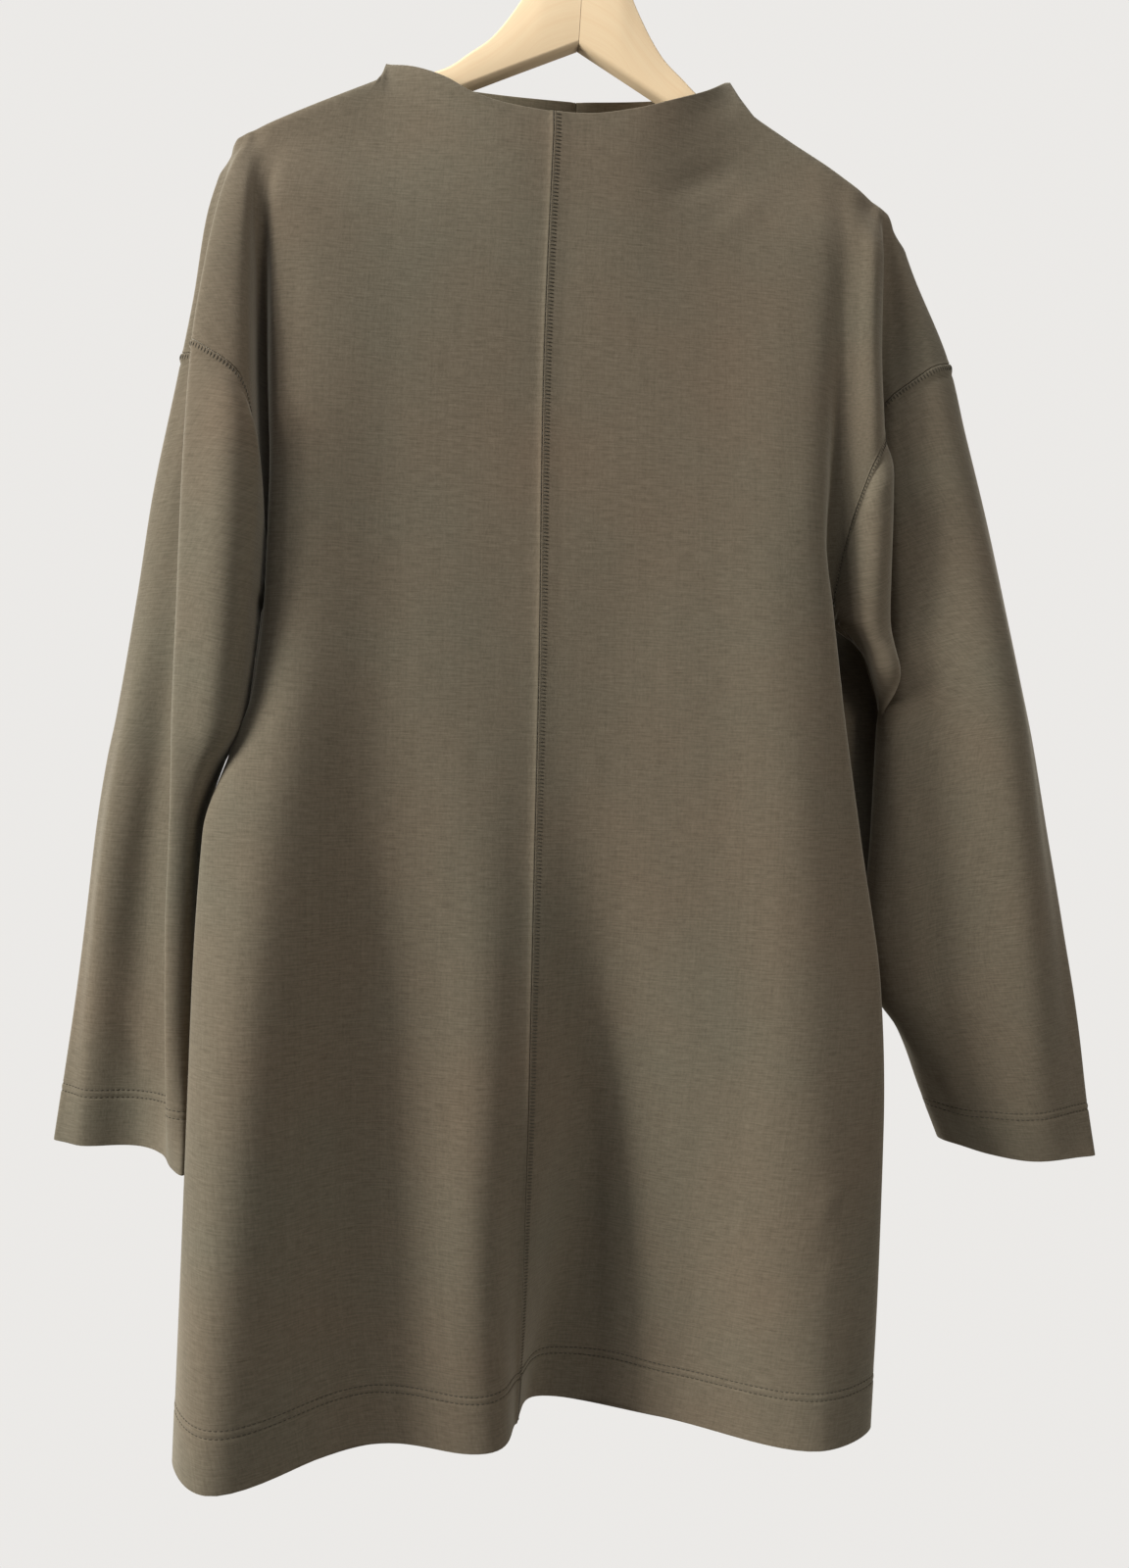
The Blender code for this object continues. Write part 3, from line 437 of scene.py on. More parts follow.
def read_table(rows, place):
    """The table's columns at each place: a smooth curve through the rows that never overshoots them."""
    rows = sorted(rows)
    places = np.array([row[0] for row in rows], float)
    columns = np.array([row[1:] for row in rows], float)
    step = np.diff(places)
    slope = np.diff(columns, axis=0) / step[:, None, None]
    turn = slope[1:] * slope[:-1]
    slopes = np.concatenate([slope[:1], np.zeros_like(turn), slope[-1:]])
    slopes[1:-1][turn > 0] = 2 * turn[turn > 0] / (slope[1:] + slope[:-1])[turn > 0]
    place = np.clip(place, places[0], places[-1])
    i = np.clip(np.searchsorted(places, place, side="right") - 1, 0, len(step) - 1)
    run = step[i][..., None, None]
    t = (place - places[i])[..., None, None] / run
    return bend(columns[i], slopes[i] * run, columns[i + 1], slopes[i + 1] * run, t)


def pass_through(knots, t):
    """A point of the centripetal curve through the knots, where t = 0 is the second knot.

    The first and the last knot only steer the curve. Its direction at a knot is the mean of those of
    its two chords, each weighted by the root of the other's length, so tight folds don't overshoot.
    """
    chord = np.diff(knots, axis=-2)
    span = np.maximum(np.linalg.norm(chord, axis=-1, keepdims=True), 0.01) ** 0.5
    before, after = chord[..., :-1, :], chord[..., 1:, :]
    span_before, span_after = span[..., :-1, :], span[..., 1:, :]
    both = (before + after) / (span_before + span_after)
    direction = before / span_before + after / span_after - both
    i = np.clip(np.floor(t).astype(int), 0, knots.shape[-2] - 4)

    def at(values, index):
        return np.take_along_axis(values, index[..., None, None], axis=-2)[..., 0, :]

    run = at(span, i + 1)
    leave, arrive = at(direction, i) * run, at(direction, i + 1) * run
    return bend(at(knots, i + 1), leave, at(knots, i + 2), arrive, (t - i)[..., None])


def fold_lines(half, z):
    """Every fold line of one half at heights z, by name, each with x and y in its last axis."""
    mirror = np.array([half, 1])
    lines = {}
    for piece, folds, table in (
        ("body_front", BODY_FRONT_FOLDS, BODY_FRONT),
        ("body_back", BODY_BACK_FOLDS, BODY_BACK),
        ("sleeve_front", SLEEVE_FRONT_FOLDS, SLEEVE_FRONT),
        ("sleeve_back", SLEEVE_BACK_FOLDS, SLEEVE_BACK),
    ):
        columns = read_table(table[half], z) * mirror
        lines.update({f"{piece}_{fold}": columns[..., k, :] for k, fold in enumerate(folds)})
        other = read_table(table[-half], z) * -mirror * (1, -1)
        lines[f"other_{piece}"] = other[..., 0, :]
    lines["sleeve_seam"] = read_table(SLEEVE_SEAM[half], z)[..., 0, :] * mirror
    lines["centre_front"] = read_table(CENTRE_FRONT, z)[..., 0, :]
    lines["centre_back"] = read_table(CENTRE_BACK, z)[..., 0, :]
    return lines


def section(half, face, part, place, z):
    """x and y of the cloth's mid-surface at places across one half, at heights z."""
    lines = fold_lines(half, z)
    below = np.clip((UNDERARM_Z - z) / UNDERARM_BLEND, 0, 1)[..., None]
    under = (z < UNDERARM_Z)[..., None]

    def steer(above_name, below_name):
        return lines[above_name] * (1 - below) + lines[below_name] * below

    def split(above_name, below_name):
        return np.where(under, lines[below_name], lines[above_name])

    if (face, part) == ("front", "body"):
        knots = [lines["other_body_front"], lines["centre_front"]]
        knots += [lines[f"body_front_{fold}"] for fold in BODY_FRONT_FOLDS]
        knots += [steer("sleeve_front_lobe", "body_back_wing")]
        t = place
    elif (face, part) == ("front", "sleeve"):
        knots = [steer("body_front_tuck", "sleeve_back_inner"), split("body_front_side", "sleeve_seam")]
        knots += [lines[f"sleeve_front_{fold}"] for fold in SLEEVE_FRONT_FOLDS]
        knots += [lines["sleeve_back_outer"]]
        t = place - SIDE
    elif (face, part) == ("back", "body"):
        knots = [lines["other_body_back"], lines["centre_back"]]
        knots += [lines[f"body_back_{fold}"] for fold in BODY_BACK_FOLDS[:-1]]
        knots += [split("body_back_pit", "body_front_side")]
        knots += [steer("sleeve_back_inner", "body_front_tuck")]
        t = np.interp(place, BACK_BODY_PLACES, range(len(BACK_BODY_PLACES)))
    else:
        knots = [steer("body_back_wing", "sleeve_front_lobe"), split("body_back_pit", "sleeve_seam")]
        knots += [lines[f"sleeve_back_{fold}"] for fold in SLEEVE_BACK_FOLDS]
        knots += [lines["sleeve_front_ridge"], lines["sleeve_front_outer"]]
        t = np.interp(place, BACK_SLEEVE_PLACES, range(len(BACK_SLEEVE_PLACES)))
    return pass_through(np.stack(knots, axis=-2), t)


def tilted(x, z):
    """A point of the hanger turned with it about its joint, clockwise as the viewer sees it."""
    across, up = x - WOOD_JOINT[0], z - WOOD_JOINT[1]
    turned_x = WOOD_JOINT[0] + across * cos(WOOD_TILT) + up * sin(WOOD_TILT)
    turned_z = WOOD_JOINT[1] + up * cos(WOOD_TILT) - across * sin(WOOD_TILT)
    return turned_x, turned_z


def wood_top(x):
    """Height of the tilted hanger's upper edge at x, either side of the middle."""
    above_joint = read_table(WOOD_TOP, np.abs(x))[..., 0, 0] - WOOD_JOINT[1]
    upright = x - above_joint * sin(WOOD_TILT)
    return tilted(upright, read_table(WOOD_TOP, np.abs(upright))[..., 0, 0])[1]


def top_line(half, face, place):
    """x, y and z of the cloth's upper end: the neck's edge, then the shoulder seam on the hanger."""
    neck = read_table((NECK_FRONT if face == "front" else NECK_BACK)[half], place)[..., 0, :]
    shoulder = read_table(SHOULDER[half], place)[..., 0, :]
    x = half * np.where(place < NECK_TIP, neck[..., 0], shoulder[..., 0])
    y = np.where(place < NECK_TIP, neck[..., 1], 0)
    seat = wood_top(x) + SEAT_GAP + WALL / 2
    z = np.where(place < NECK_TIP, neck[..., 2], seat + shoulder[..., 1])
    return np.stack([x, y, z], axis=-1)


def roll(place, drop):
    """How far the cloth has turned from its top line to its hanging place, from 0 to 1.

    It is a superellipse's quarter: short and square over the wooden arm, long and soft at the neck.
    """
    ease = np.clip((place - NECK_TIP) / ROLL_EASE, 0, 1)
    depth = NECK_ROLL + (SHOULDER_ROLL - NECK_ROLL) * ease
    power = NECK_POWER + (SHOULDER_POWER - NECK_POWER) * ease
    return (1 - (1 - np.clip(drop / depth, 0, 1)) ** power) ** (1 / power)


def armhole(half, place):
    """Height of the armhole seam, which rises from the underarm to the outer edge of the arm."""
    return UNDERARM_Z + ARMHOLE_RISE[half] * read_table(ARMHOLE[half], place)[..., 0, 0]


def cloth(half, face, part, place, z):
    """Points of the mid-surface at places across and heights z, from the top line to the hems.

    The cloth turns outwards over the wood at once, and only then moves sideways to its fold line.
    """
    top = top_line(half, face, place)
    drop = top[..., 2] - z
    hanging = section(half, face, part, place, z)
    turned = roll(place, drop)
    moved = soft_share(drop, SHOULDER_SHIFT)
    x = top[..., 0] + (hanging[..., 0] - top[..., 0]) * moved
    y = top[..., 1] + (hanging[..., 1] - top[..., 1]) * turned
    return np.stack([x, y, z], axis=-1)


waist = section(1, "front", "body", np.array([0.0, 3, 6]), np.full(3, -700.0))
print("fold points of the right front at the waist:", waist.round(1).tolist())

# %% [markdown]
# Each cut piece gets a fine grid. The columns lie close together beside the seams, where the cloth is
# pressed and stitched, and the rows lie close together at the hem. A front or a back ends at the
# armhole seam on its shoulder side and at the side seam below it. On the shoulder the cloth turns
# over the wood at once, so its first rows drop by millionths of a millimetre; at the neck they don't.

# %% Columns and rows of the cut pieces
BODY_KNOTS = (0, 0.5, 1, 1.33, 1.67, 2, 2.2, 2.55, 3, 3.33, 3.67, 4, 4.5, 5, 5.5, 6)
SLEEVE_KNOTS = (6, 6.5, 7, 7.5, 8, 8.5, 9, 9.5, 10, 10.5, 11, 11.5, 12)
BESIDE_CENTRE = (0.008, 0.018, 0.03, 0.045, 0.065)
BESIDE_OUTER = (11.91, 11.94, 11.965, 11.985)
NECK_DROPS = (0, 0.25, 0.6, 1, 1.6, 2.4, 3.4, 4.6, 6, 7.6, 9.6, 12)
SHOULDER_DROPS = (0, 4e-6, 1e-4, 1e-3, 7e-3, 0.04, 0.18, 0.55, 1.3, 3, 6.5, 12)
BESIDE_ARMHOLE = (0.955, 0.968, 0.978, 0.986, 0.992, 0.997, 1)
BELOW_ARMHOLE = (0, 0.003, 0.008, 0.014, 0.022, 0.032, 0.045)
HEM_RISES = (0, 0.3, 0.8, 1.5, 2.5, 4, 7, 11, 16, 21, 26, 30, *range(32, 43), 44, 47)
ROW_SPACING = 4.5
COLUMN_PARTS = 5
UPPER_END, UPPER_ROWS = 0.945, 72
HEAD_START, HEAD_ROWS = 0.06, 42


def finer(knots, parts):
    """The knots with each stretch between them cut into equal parts."""
    return np.interp(np.arange((len(knots) - 1) * parts + 1) / parts, np.arange(len(knots)), knots)


BODY_PLACES = np.unique(np.concatenate([finer(BODY_KNOTS, COLUMN_PARTS), BESIDE_CENTRE]))
SLEEVE_PLACES = np.unique(np.concatenate([finer(SLEEVE_KNOTS, COLUMN_PARTS), BESIDE_OUTER]))
BODY_ROW_PLACES = np.concatenate([BODY_PLACES, SLEEVE_PLACES[1:]])
UPPER_SHARES = np.concatenate([np.linspace(0, UPPER_END, UPPER_ROWS)[1:], BESIDE_ARMHOLE])
HEAD_SHARES = np.concatenate([BELOW_ARMHOLE, np.linspace(HEAD_START, 1, HEAD_ROWS)])
ARMHOLE_ROW = len(NECK_DROPS) + len(UPPER_SHARES) - 1


def rows_down_to(edge_z, from_z):
    """Heights from just below from_z to the edge: evenly spaced, then as the hem asks."""
    hem = edge_z + np.array(HEM_RISES[::-1])
    count = int((from_z - hem[0]) / ROW_SPACING)
    return np.concatenate([np.linspace(from_z, hem[0], count)[1:-1], hem])


def body_grid(half, face):
    """Mid-surface points of a front or a back, in rows from its upper end to the hem.

    A row's height is the top line less its drop over the wood, then a share of the way to the armhole,
    and below the underarm a level. Points past the side seam are marked as missing there.
    """
    places = BODY_ROW_PLACES
    top = top_line(half, face, places)[..., 2]
    run = top - NECK_DROPS[-1] - armhole(half, places)
    ease = np.clip((places - NECK_TIP) / ROLL_EASE, 0, 1)
    drops = np.outer(NECK_DROPS, 1 - ease) + np.outer(SHOULDER_DROPS, ease)
    upper = np.concatenate([top - drops, top - NECK_DROPS[-1] - np.outer(UPPER_SHARES, run)])
    lower = rows_down_to(HEM_Z, UNDERARM_Z)
    heights = np.concatenate([upper, np.repeat(lower[:, None], len(places), axis=1)])
    place = np.broadcast_to(places, heights.shape)
    body = cloth(half, face, "body", np.minimum(place, SIDE), heights)
    sleeve = cloth(half, face, "sleeve", np.maximum(place, SIDE), heights)
    grid = np.where((place > SIDE)[..., None], sleeve, body)
    grid[ARMHOLE_ROW + 1 :, places > SIDE] = np.nan
    return grid


def sleeve_grid(half, face):
    """Mid-surface points of one face of a sleeve: rows that level out below the armhole, then levels."""
    start = armhole(half, SLEEVE_PLACES)
    head = start + np.outer(HEAD_SHARES, SLEEVE_LEVEL_Z - start)
    arm = rows_down_to(CUFF_Z, SLEEVE_LEVEL_Z)
    heights = np.concatenate([head, np.repeat(arm[:, None], len(SLEEVE_PLACES), axis=1)])
    place = np.broadcast_to(SLEEVE_PLACES, heights.shape)
    return cloth(half, face, "sleeve", place, heights)


panels = {}
for half, hand in ((1, "right"), (-1, "left")):
    for face in ("front", "back"):
        shared = {"half": half, "face": face, "flip": (half == 1) != (face == "front")}
        panels[f"{face}_{hand}"] = {**shared, "kind": "body", "grid": body_grid(half, face)}
        panels[f"sleeve_{face}_{hand}"] = {**shared, "kind": "sleeve", "grid": sleeve_grid(half, face)}
for name, panel in panels.items():
    print(name, panel["grid"].shape[:2], "points")

# %% [markdown]
# Creases, seams and hems all move the cloth along its own normal, so each point needs one. Pieces
# that meet at a seam must agree on it, or the seam would gape. The normals are therefore averaged
# over all the faces that meet at a point, over all pieces at once.

# %% Normals that the pieces share


def quads_of(grid, flip):
    """Quads between the grid's points, numbered row by row, with no quad where a point is missing."""
    number = np.arange(grid[..., 0].size).reshape(grid.shape[:2])
    quads = np.stack([number[:-1, :-1], number[1:, :-1], number[1:, 1:], number[:-1, 1:]], axis=-1)
    quads = quads.reshape(-1, 4)
    whole = np.isfinite(grid.reshape(-1, 3)[quads, 0]).all(axis=1)
    return quads[whole, ::-1] if flip else quads[whole]


def unit(vectors):
    """The vectors at length 1, and those of no length as they are."""
    length = np.linalg.norm(vectors, axis=-1, keepdims=True)
    return vectors / np.where(length > 0, length, 1)


def crossed_diagonals(points, quads):
    """For each quad a vector along its normal, twice as long as its area: the diagonals' product."""
    corners = points[quads]
    return np.cross(corners[:, 2] - corners[:, 0], corners[:, 3] - corners[:, 1])


def share_normals(members):
    """Gives each panel its point normals: the mean of the unit normals of the faces round a point."""
    points = np.concatenate([member["grid"].reshape(-1, 3) for member in members])
    sizes = [member["grid"][..., 0].size for member in members]
    starts = np.cumsum([0] + sizes[:-1])
    quads = np.concatenate([quads_of(m["grid"], m["flip"]) + start for m, start in zip(members, starts)])
    _, joined = np.unique(np.round(np.nan_to_num(points), 3), axis=0, return_inverse=True)
    joined = joined.reshape(-1)
    faces = unit(crossed_diagonals(points, quads))
    met, count = joined[quads].ravel(), joined.max() + 1
    sums = [np.bincount(met, np.repeat(faces[:, k], 4), count) for k in range(3)]
    normals = unit(np.stack(sums, axis=1))[joined]
    for member, start, size in zip(members, starts, sizes):
        member["normal"] = normals[start : start + size].reshape(member["grid"].shape)


share_normals(list(panels.values()))
print("normals at the neck's front:", panels["front_right"]["normal"][3, :2].round(2).tolist())

# %% [markdown]
# A stitch or a pressed edge lies at a fixed distance from its seam, measured in the cloth. The
# distances come from adding up the lengths of the grid's edges: along a row from the centre or side
# seam, and along a column from the neck, the armhole or the hem.

# %% Distances in the cloth
DISTANCES = ("first", "last", "top", "bottom")


def run_along(grid, axis):
    """Length walked along the columns (axis 0) or rows (axis 1) of the grid, from its first line."""
    step = np.nan_to_num(np.linalg.norm(np.diff(grid, axis=axis), axis=-1))
    pad = [(1, 0), (0, 0)] if axis == 0 else [(0, 0), (1, 0)]
    return np.cumsum(np.pad(step, pad), axis=axis)


def measure(panel):
    """Distances in the cloth: from the first column and to the last, from the top and to the bottom."""
    grid = panel["grid"]
    missing = ~np.isfinite(grid[..., 0])
    across, down = run_along(grid, 1), run_along(grid, 0)
    panel["first"], panel["top"] = across, down
    panel["last"] = np.where(missing, 0, across).max(axis=1, keepdims=True) - across
    panel["bottom"] = np.where(missing, 0, down).max(axis=0, keepdims=True) - down
    panel["missing"] = missing
    places = BODY_ROW_PLACES if panel["kind"] == "body" else SLEEVE_PLACES
    panel["place"] = np.broadcast_to(places, missing.shape)


for panel in panels.values():
    measure(panel)
for name in ("front_right", "front_left", "back_right", "sleeve_front_right", "sleeve_front_left"):
    panel = panels[name]
    print(name, "length at its first column:", round(float(panel["top"][-1, 0])), "mm")

# %% [markdown]
# The tables hold the large folds. The long soft folds between them, which stand up to 12 mm off
# the table's surface, are added here, with the raised edges and bands beside the seams, the thicker
# hems with their stitched grooves, a few short creases and the slight waviness of any cloth that
# hangs. Each is a height along the normal, in millimetres. The waviness is a sum of long waves in
# the room's own coordinates, so it carries on across the seams.

# %% Creases, seams and hems
# Hems and their two stitched grooves
HEM_DEPTH, HEM_EXTRA = 40, 0.35
HEM_PAST, HEM_SOFT = 1.5, 0.6
TWIN_ROWS = (35, 40)
GROOVE_DEPTH, GROOVE_WIDTH = 0.55, 1.0

# Raised edges beside a seam: height and width
LEFT_EDGE, RIGHT_EDGE = (1.1, 2.2), (0.5, 0.9)
SIDE_EDGE, ARMHOLE_EDGE, SLEEVE_EDGE = (0.25, 2.5), (0.35, 1.6), (0.2, 2.5)

# Bands beside a seam, where its allowance lies beneath: height, width and softness of the step
CENTRE_BAND, ARMHOLE_BAND, OUTER_BAND = (0.6, 5.5, 0.35), (0.75, 6, 0.35), (0.3, 4.5, 0.4)
BAND_FOOT = 7.2
FOOT_GROOVE = (0.4, 1.2)

# How far the shared points of a seam stand off, and where creases have died out beside one
SEAM_RISE, CENTRE_RISE = 0.2, 0.9
CREASE_FADE, NO_SEAM = 25, 1e3

# Waviness: the number and height of the waves, their lengths across and down, and their slant
WAVES, WAVE_HEIGHT = 14, 0.14
WAVE_LENGTHS, WAVE_RISES = (55, 150), (160, 420)
WAVE_SLANT, SLANT_LENGTH = 0.12, 60
DEPTH_SHARE = 0.6
rng = np.random.default_rng(11)
wave_length = rng.uniform(*WAVE_LENGTHS, WAVES)
wave_steep = rng.uniform(-WAVE_SLANT, WAVE_SLANT, WAVES)
wave_phase = rng.uniform(0, 2 * pi, (2, WAVES))
wave_rise = rng.uniform(*WAVE_RISES, WAVES)


def bump(distance, width):
    """A soft bump that is 1 at no distance and falls to nothing within about twice the width."""
    return np.exp(-((distance / width) ** 2))


def step_down(distance, edge, softness):
    """1 below the edge's distance and 0 beyond it, with a soft step."""
    return 0.5 - 0.5 * np.tanh((distance - edge) / softness)


def edge_rise(distance, height, width):
    """A raised edge: a bump of the given height and width."""
    return height * bump(distance, width)


def band_rise(distance, height, width, softness):
    """A raised band: the given height as far as its width, then a soft step down."""
    return height * step_down(distance, width, softness)


def waviness(points):
    """Slight waves: a sum of products of two sines, one of x with a share of y and z, one of z."""
    across = (points[..., 0] + DEPTH_SHARE * points[..., 1])[..., None]
    down = points[..., 2][..., None]
    turns = across / wave_length + wave_steep * down / SLANT_LENGTH
    swing = np.sin(2 * pi * turns + wave_phase[0])
    fade = np.sin(2 * pi * down / wave_rise + wave_phase[1])
    return WAVE_HEIGHT * (swing * fade).sum(axis=-1) / WAVES**0.5


def crease(points, start, end, width, height):
    """A soft ridge or trough along the line from start to end in x and z, fading at its ends."""
    line = np.subtract(end, start)
    offset = points[..., [0, 2]] - np.array(start)
    along = (offset @ line) / (line @ line)
    away = (offset[..., 0] * line[1] - offset[..., 1] * line[0]) / np.linalg.norm(line)
    fade = np.sin(pi * np.clip(along, 0, 1)) ** 2
    return height * fade * bump(away, width)


# Each crease: where it starts and ends in x and z, its width and its height
CREASES = {
    ("body", "front", 1): (
        ((158, -100), (160, -1250), 38, 6),
        ((8, -540), (76, -1180), 27, -8),
        ((132, -600), (138, -980), 15, -1.3),
        ((120, -190), (48, -232), 9, -1.8),
        ((139, -199), (85, -262), 8, 0.9),
        ((205, -860), (178, -905), 6, 0.9),
        ((196, -900), (176, -950), 5, -0.8),
    ),
    ("body", "front", -1): (
        ((-118, -230), (-122, -1230), 36, -6),
        ((-40, -600), (-44, -1200), 24, 6),
        ((-174, -330), (-184, -1230), 36, 8),
    ),
    ("body", "back", 1): (
        ((110, -215), (60, -300), 10, -1.1),
        ((150, -470), (120, -640), 12, 0.9),
        ((70, -420), (85, -1150), 36, -4),
        ((150, -520), (165, -1200), 30, 3),
        ((214, -455), (240, -600), 13, 7),
    ),
    ("body", "back", -1): (
        ((-120, -210), (-45, -262), 10, -1.4),
        ((-150, -480), (-118, -690), 12, 0.9),
        ((-95, -520), (-80, -1150), 34, 4),
    ),
    ("sleeve", "front", 1): (
        ((209, -225), (217, -565), 13, 6.5),
        ((236, -300), (304, -940), 17, -5),
        ((262, -260), (398, -1100), 25, 12),
        ((221, -490), (231, -575), 9, 8),
    ),
    ("sleeve", "front", -1): (
        ((-205, -225), (-211, -660), 16, 8),
        ((-213, -520), (-221, -650), 9, 2.5),
        ((-256, -300), (-330, -1100), 18, 9),
        ((-262, -560), (-282, -700), 7, 0.8),
        ((-285, -760), (-262, -840), 7, -0.7),
    ),
    ("sleeve", "back", 1): (((290, -480), (330, -800), 12, -1.6),),
    ("sleeve", "back", -1): (((-250, -450), (-285, -780), 11, -1.6),),
}


def seam_fade(panel):
    """0 on the seams and 1 well away from them, so that a crease dies out before the next piece.

    A sleeve counts all its seams. A body piece counts the centre seam, and the side seam in the rows
    below the underarm.
    """
    if panel["kind"] == "sleeve":
        nearest = np.minimum.reduce([panel["first"], panel["last"], panel["top"]])
    else:
        ends_at_side = panel["missing"].any(axis=1, keepdims=True)
        nearest = np.minimum(panel["first"], np.where(ends_at_side, panel["last"], NO_SEAM))
    return soft_share(nearest, CREASE_FADE)


def heights(panel):
    """How far each point stands off the table's surface, and the half thickness of its wall."""
    first, last, top, bottom = (panel[key] for key in DISTANCES)
    points = np.nan_to_num(panel["grid"])
    marks = CREASES[panel["kind"], panel["face"], panel["half"]]
    relief = sum(crease(points, *mark) for mark in marks)
    up = waviness(points) + relief * seam_fade(panel)
    if panel["kind"] == "body":
        past_side = panel["place"] > SIDE
        if panel["half"] == -1:
            up = up + edge_rise(first, *LEFT_EDGE)
        else:
            up = up + (band_rise(first, *CENTRE_BAND) + edge_rise(first, *RIGHT_EDGE))
        side = np.where(past_side, np.inf, last)
        up = up + edge_rise(side, *SIDE_EDGE) * (panel["grid"][..., 2] < UNDERARM_Z)
        up = up + np.where(past_side, edge_rise(bottom, *ARMHOLE_EDGE), 0)
        edge = np.where(past_side, np.inf, bottom)
    else:
        up = up + band_rise(top, *ARMHOLE_BAND) - edge_rise(top - BAND_FOOT, *FOOT_GROOVE)
        up = up + edge_rise(first, *SLEEVE_EDGE)
        if panel["face"] == "back":
            up = up + band_rise(last, *OUTER_BAND)
        edge = bottom
    for row in TWIN_ROWS:
        up = up - edge_rise(edge - row, GROOVE_DEPTH, GROOVE_WIDTH)
    return up, WALL / 2 + band_rise(edge, HEM_EXTRA, HEM_DEPTH + HEM_PAST, HEM_SOFT)


def taper(panel):
    """0 at every edge of the piece and 1 from half a wall's thickness inwards, along a quarter circle."""
    nearest = np.minimum.reduce([panel[key] for key in DISTANCES])
    share = np.clip(nearest / (WALL / 2), 0, 1)
    return np.sqrt(1 - (1 - share) ** 2)


def seam_shared(panel, up):
    """The heights with those on the seams made equal for all the pieces that meet there."""
    up, missing = up.copy(), panel["missing"]
    wave = waviness(np.nan_to_num(panel["grid"]))
    next_column = np.pad(missing[:, 1:], ((0, 0), (0, 1)), constant_values=True)
    next_row = np.pad(missing[1:], ((0, 1), (0, 0)), constant_values=True)
    on_seam = ~missing & (next_column | next_row)
    on_seam[0] = True
    up[on_seam] = wave[on_seam] + SEAM_RISE
    up[:, 0] = wave[:, 0] + (SEAM_RISE if panel["kind"] == "sleeve" else CENTRE_RISE)
    if panel["kind"] == "body":
        up[-1] = wave[-1]
    return up


for name, panel in panels.items():
    up, panel["half_wall"] = heights(panel)
    panel["up"] = seam_shared(panel, up)
    print(name, "stands off by", round(float(up.min()), 2), "to", round(float(up.max()), 2), "mm")

# %% [markdown]
# A wall of cloth is the surface moved outwards and inwards by half its thickness. Along every edge
# the two sides come together on one line of points, so each piece is closed and its edges are round.
# Where two pieces meet they share that line, and the round edges leave the fine groove of a seam.

# %% Build the cut pieces


def add_piece(name, points, faces, uv=None, sharp=None):
    """An object with a smooth mesh from points in millimetres, its faces, and a place on the cloth.

    Where an angle is given as sharp, edges that turn by more than it stay sharp.
    """
    mesh = bpy.data.meshes.new(name)
    mesh.from_pydata((points * MM).tolist(), [], faces)
    if uv is not None:
        layer = mesh.uv_layers.new(name="UVMap")
        corners = np.empty(len(mesh.loops), np.int32)
        mesh.loops.foreach_get("vertex_index", corners)
        layer.data.foreach_set("uv", (uv[corners] * MM).astype(np.float32).ravel())
    mesh.shade_smooth()
    if sharp is not None:
        mesh.set_sharp_from_angle(angle=sharp)
    piece = bpy.data.objects.new(name, mesh)
    bpy.context.scene.collection.objects.link(piece)
    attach(piece, BODY)
    return piece


def wall_of(name, panel):
    """The closed wall of one cut piece, from the panel's grid, normals, heights and half thickness."""
    quads = quads_of(panel["grid"], panel["flip"])
    edges = np.concatenate([quads[:, [k, (k + 1) % 4]] for k in range(4)])
    _, index, uses = np.unique(np.sort(edges, axis=1), axis=0, return_index=True, return_counts=True)
    border = np.unique(edges[index[uses == 1]])
    used = np.unique(quads)
    normal = panel["normal"].reshape(-1, 3)[used]
    middle = panel["grid"].reshape(-1, 3)[used] + normal * panel["up"].reshape(-1, 1)[used]
    half = (panel["half_wall"] * taper(panel)).reshape(-1, 1)[used]
    on_border = np.isin(used, border)
    half[on_border] = 0
    outer = middle + normal * half
    inner = (middle - normal * half)[~on_border]
    outer_index = np.full(panel["missing"].size, -1)
    outer_index[used] = np.arange(len(used))
    inner_index = outer_index.copy()
    inner_index[used[~on_border]] = len(used) + np.arange((~on_border).sum())
    faces = np.concatenate([outer_index[quads], inner_index[quads][:, ::-1]])
    level = panel["grid"][..., 2] if panel["kind"] == "body" else panel["bottom"]
    flat = np.stack([panel["first"].ravel()[used], level.ravel()[used]], axis=1)
    panel["outer"] = panel["grid"] + panel["normal"] * (panel["up"] + panel["half_wall"])[..., None]
    points = np.concatenate([outer, inner])
    return add_piece(name, points, faces.tolist(), np.concatenate([flat, flat[~on_border]]))


def cloth_area(panel):
    """Area of the panel's mid-surface in square metres."""
    quads = quads_of(panel["grid"], panel["flip"])
    doubled = np.linalg.norm(crossed_diagonals(panel["grid"].reshape(-1, 3), quads), axis=1)
    return float(doubled.sum() / 2 * MM * MM)


pieces = {}
for name, panel in panels.items():
    pieces[name] = wall_of("cloth_" + name, panel)
    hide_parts(name)
    width = float((panel["first"] + panel["last"]).max())
    length = float((panel["top"] + panel["bottom"]).max())
    print(name, len(pieces[name].data.polygons), "faces;", round(width), "x", round(length), "mm, area",
          round(cloth_area(panel), 4), "square metres")

# %% [markdown]
# The seams show as small stitches. A rung or a stitch is a short thread between two points on the
# cloth, so a whole seam is one mesh: a six-sided tapered rod, copied to every pair of points at once.
# The points come from the panel's own distances. A line at a fixed distance from an edge crosses
# each row or column once, and its place there is found between the two nearest grid points.

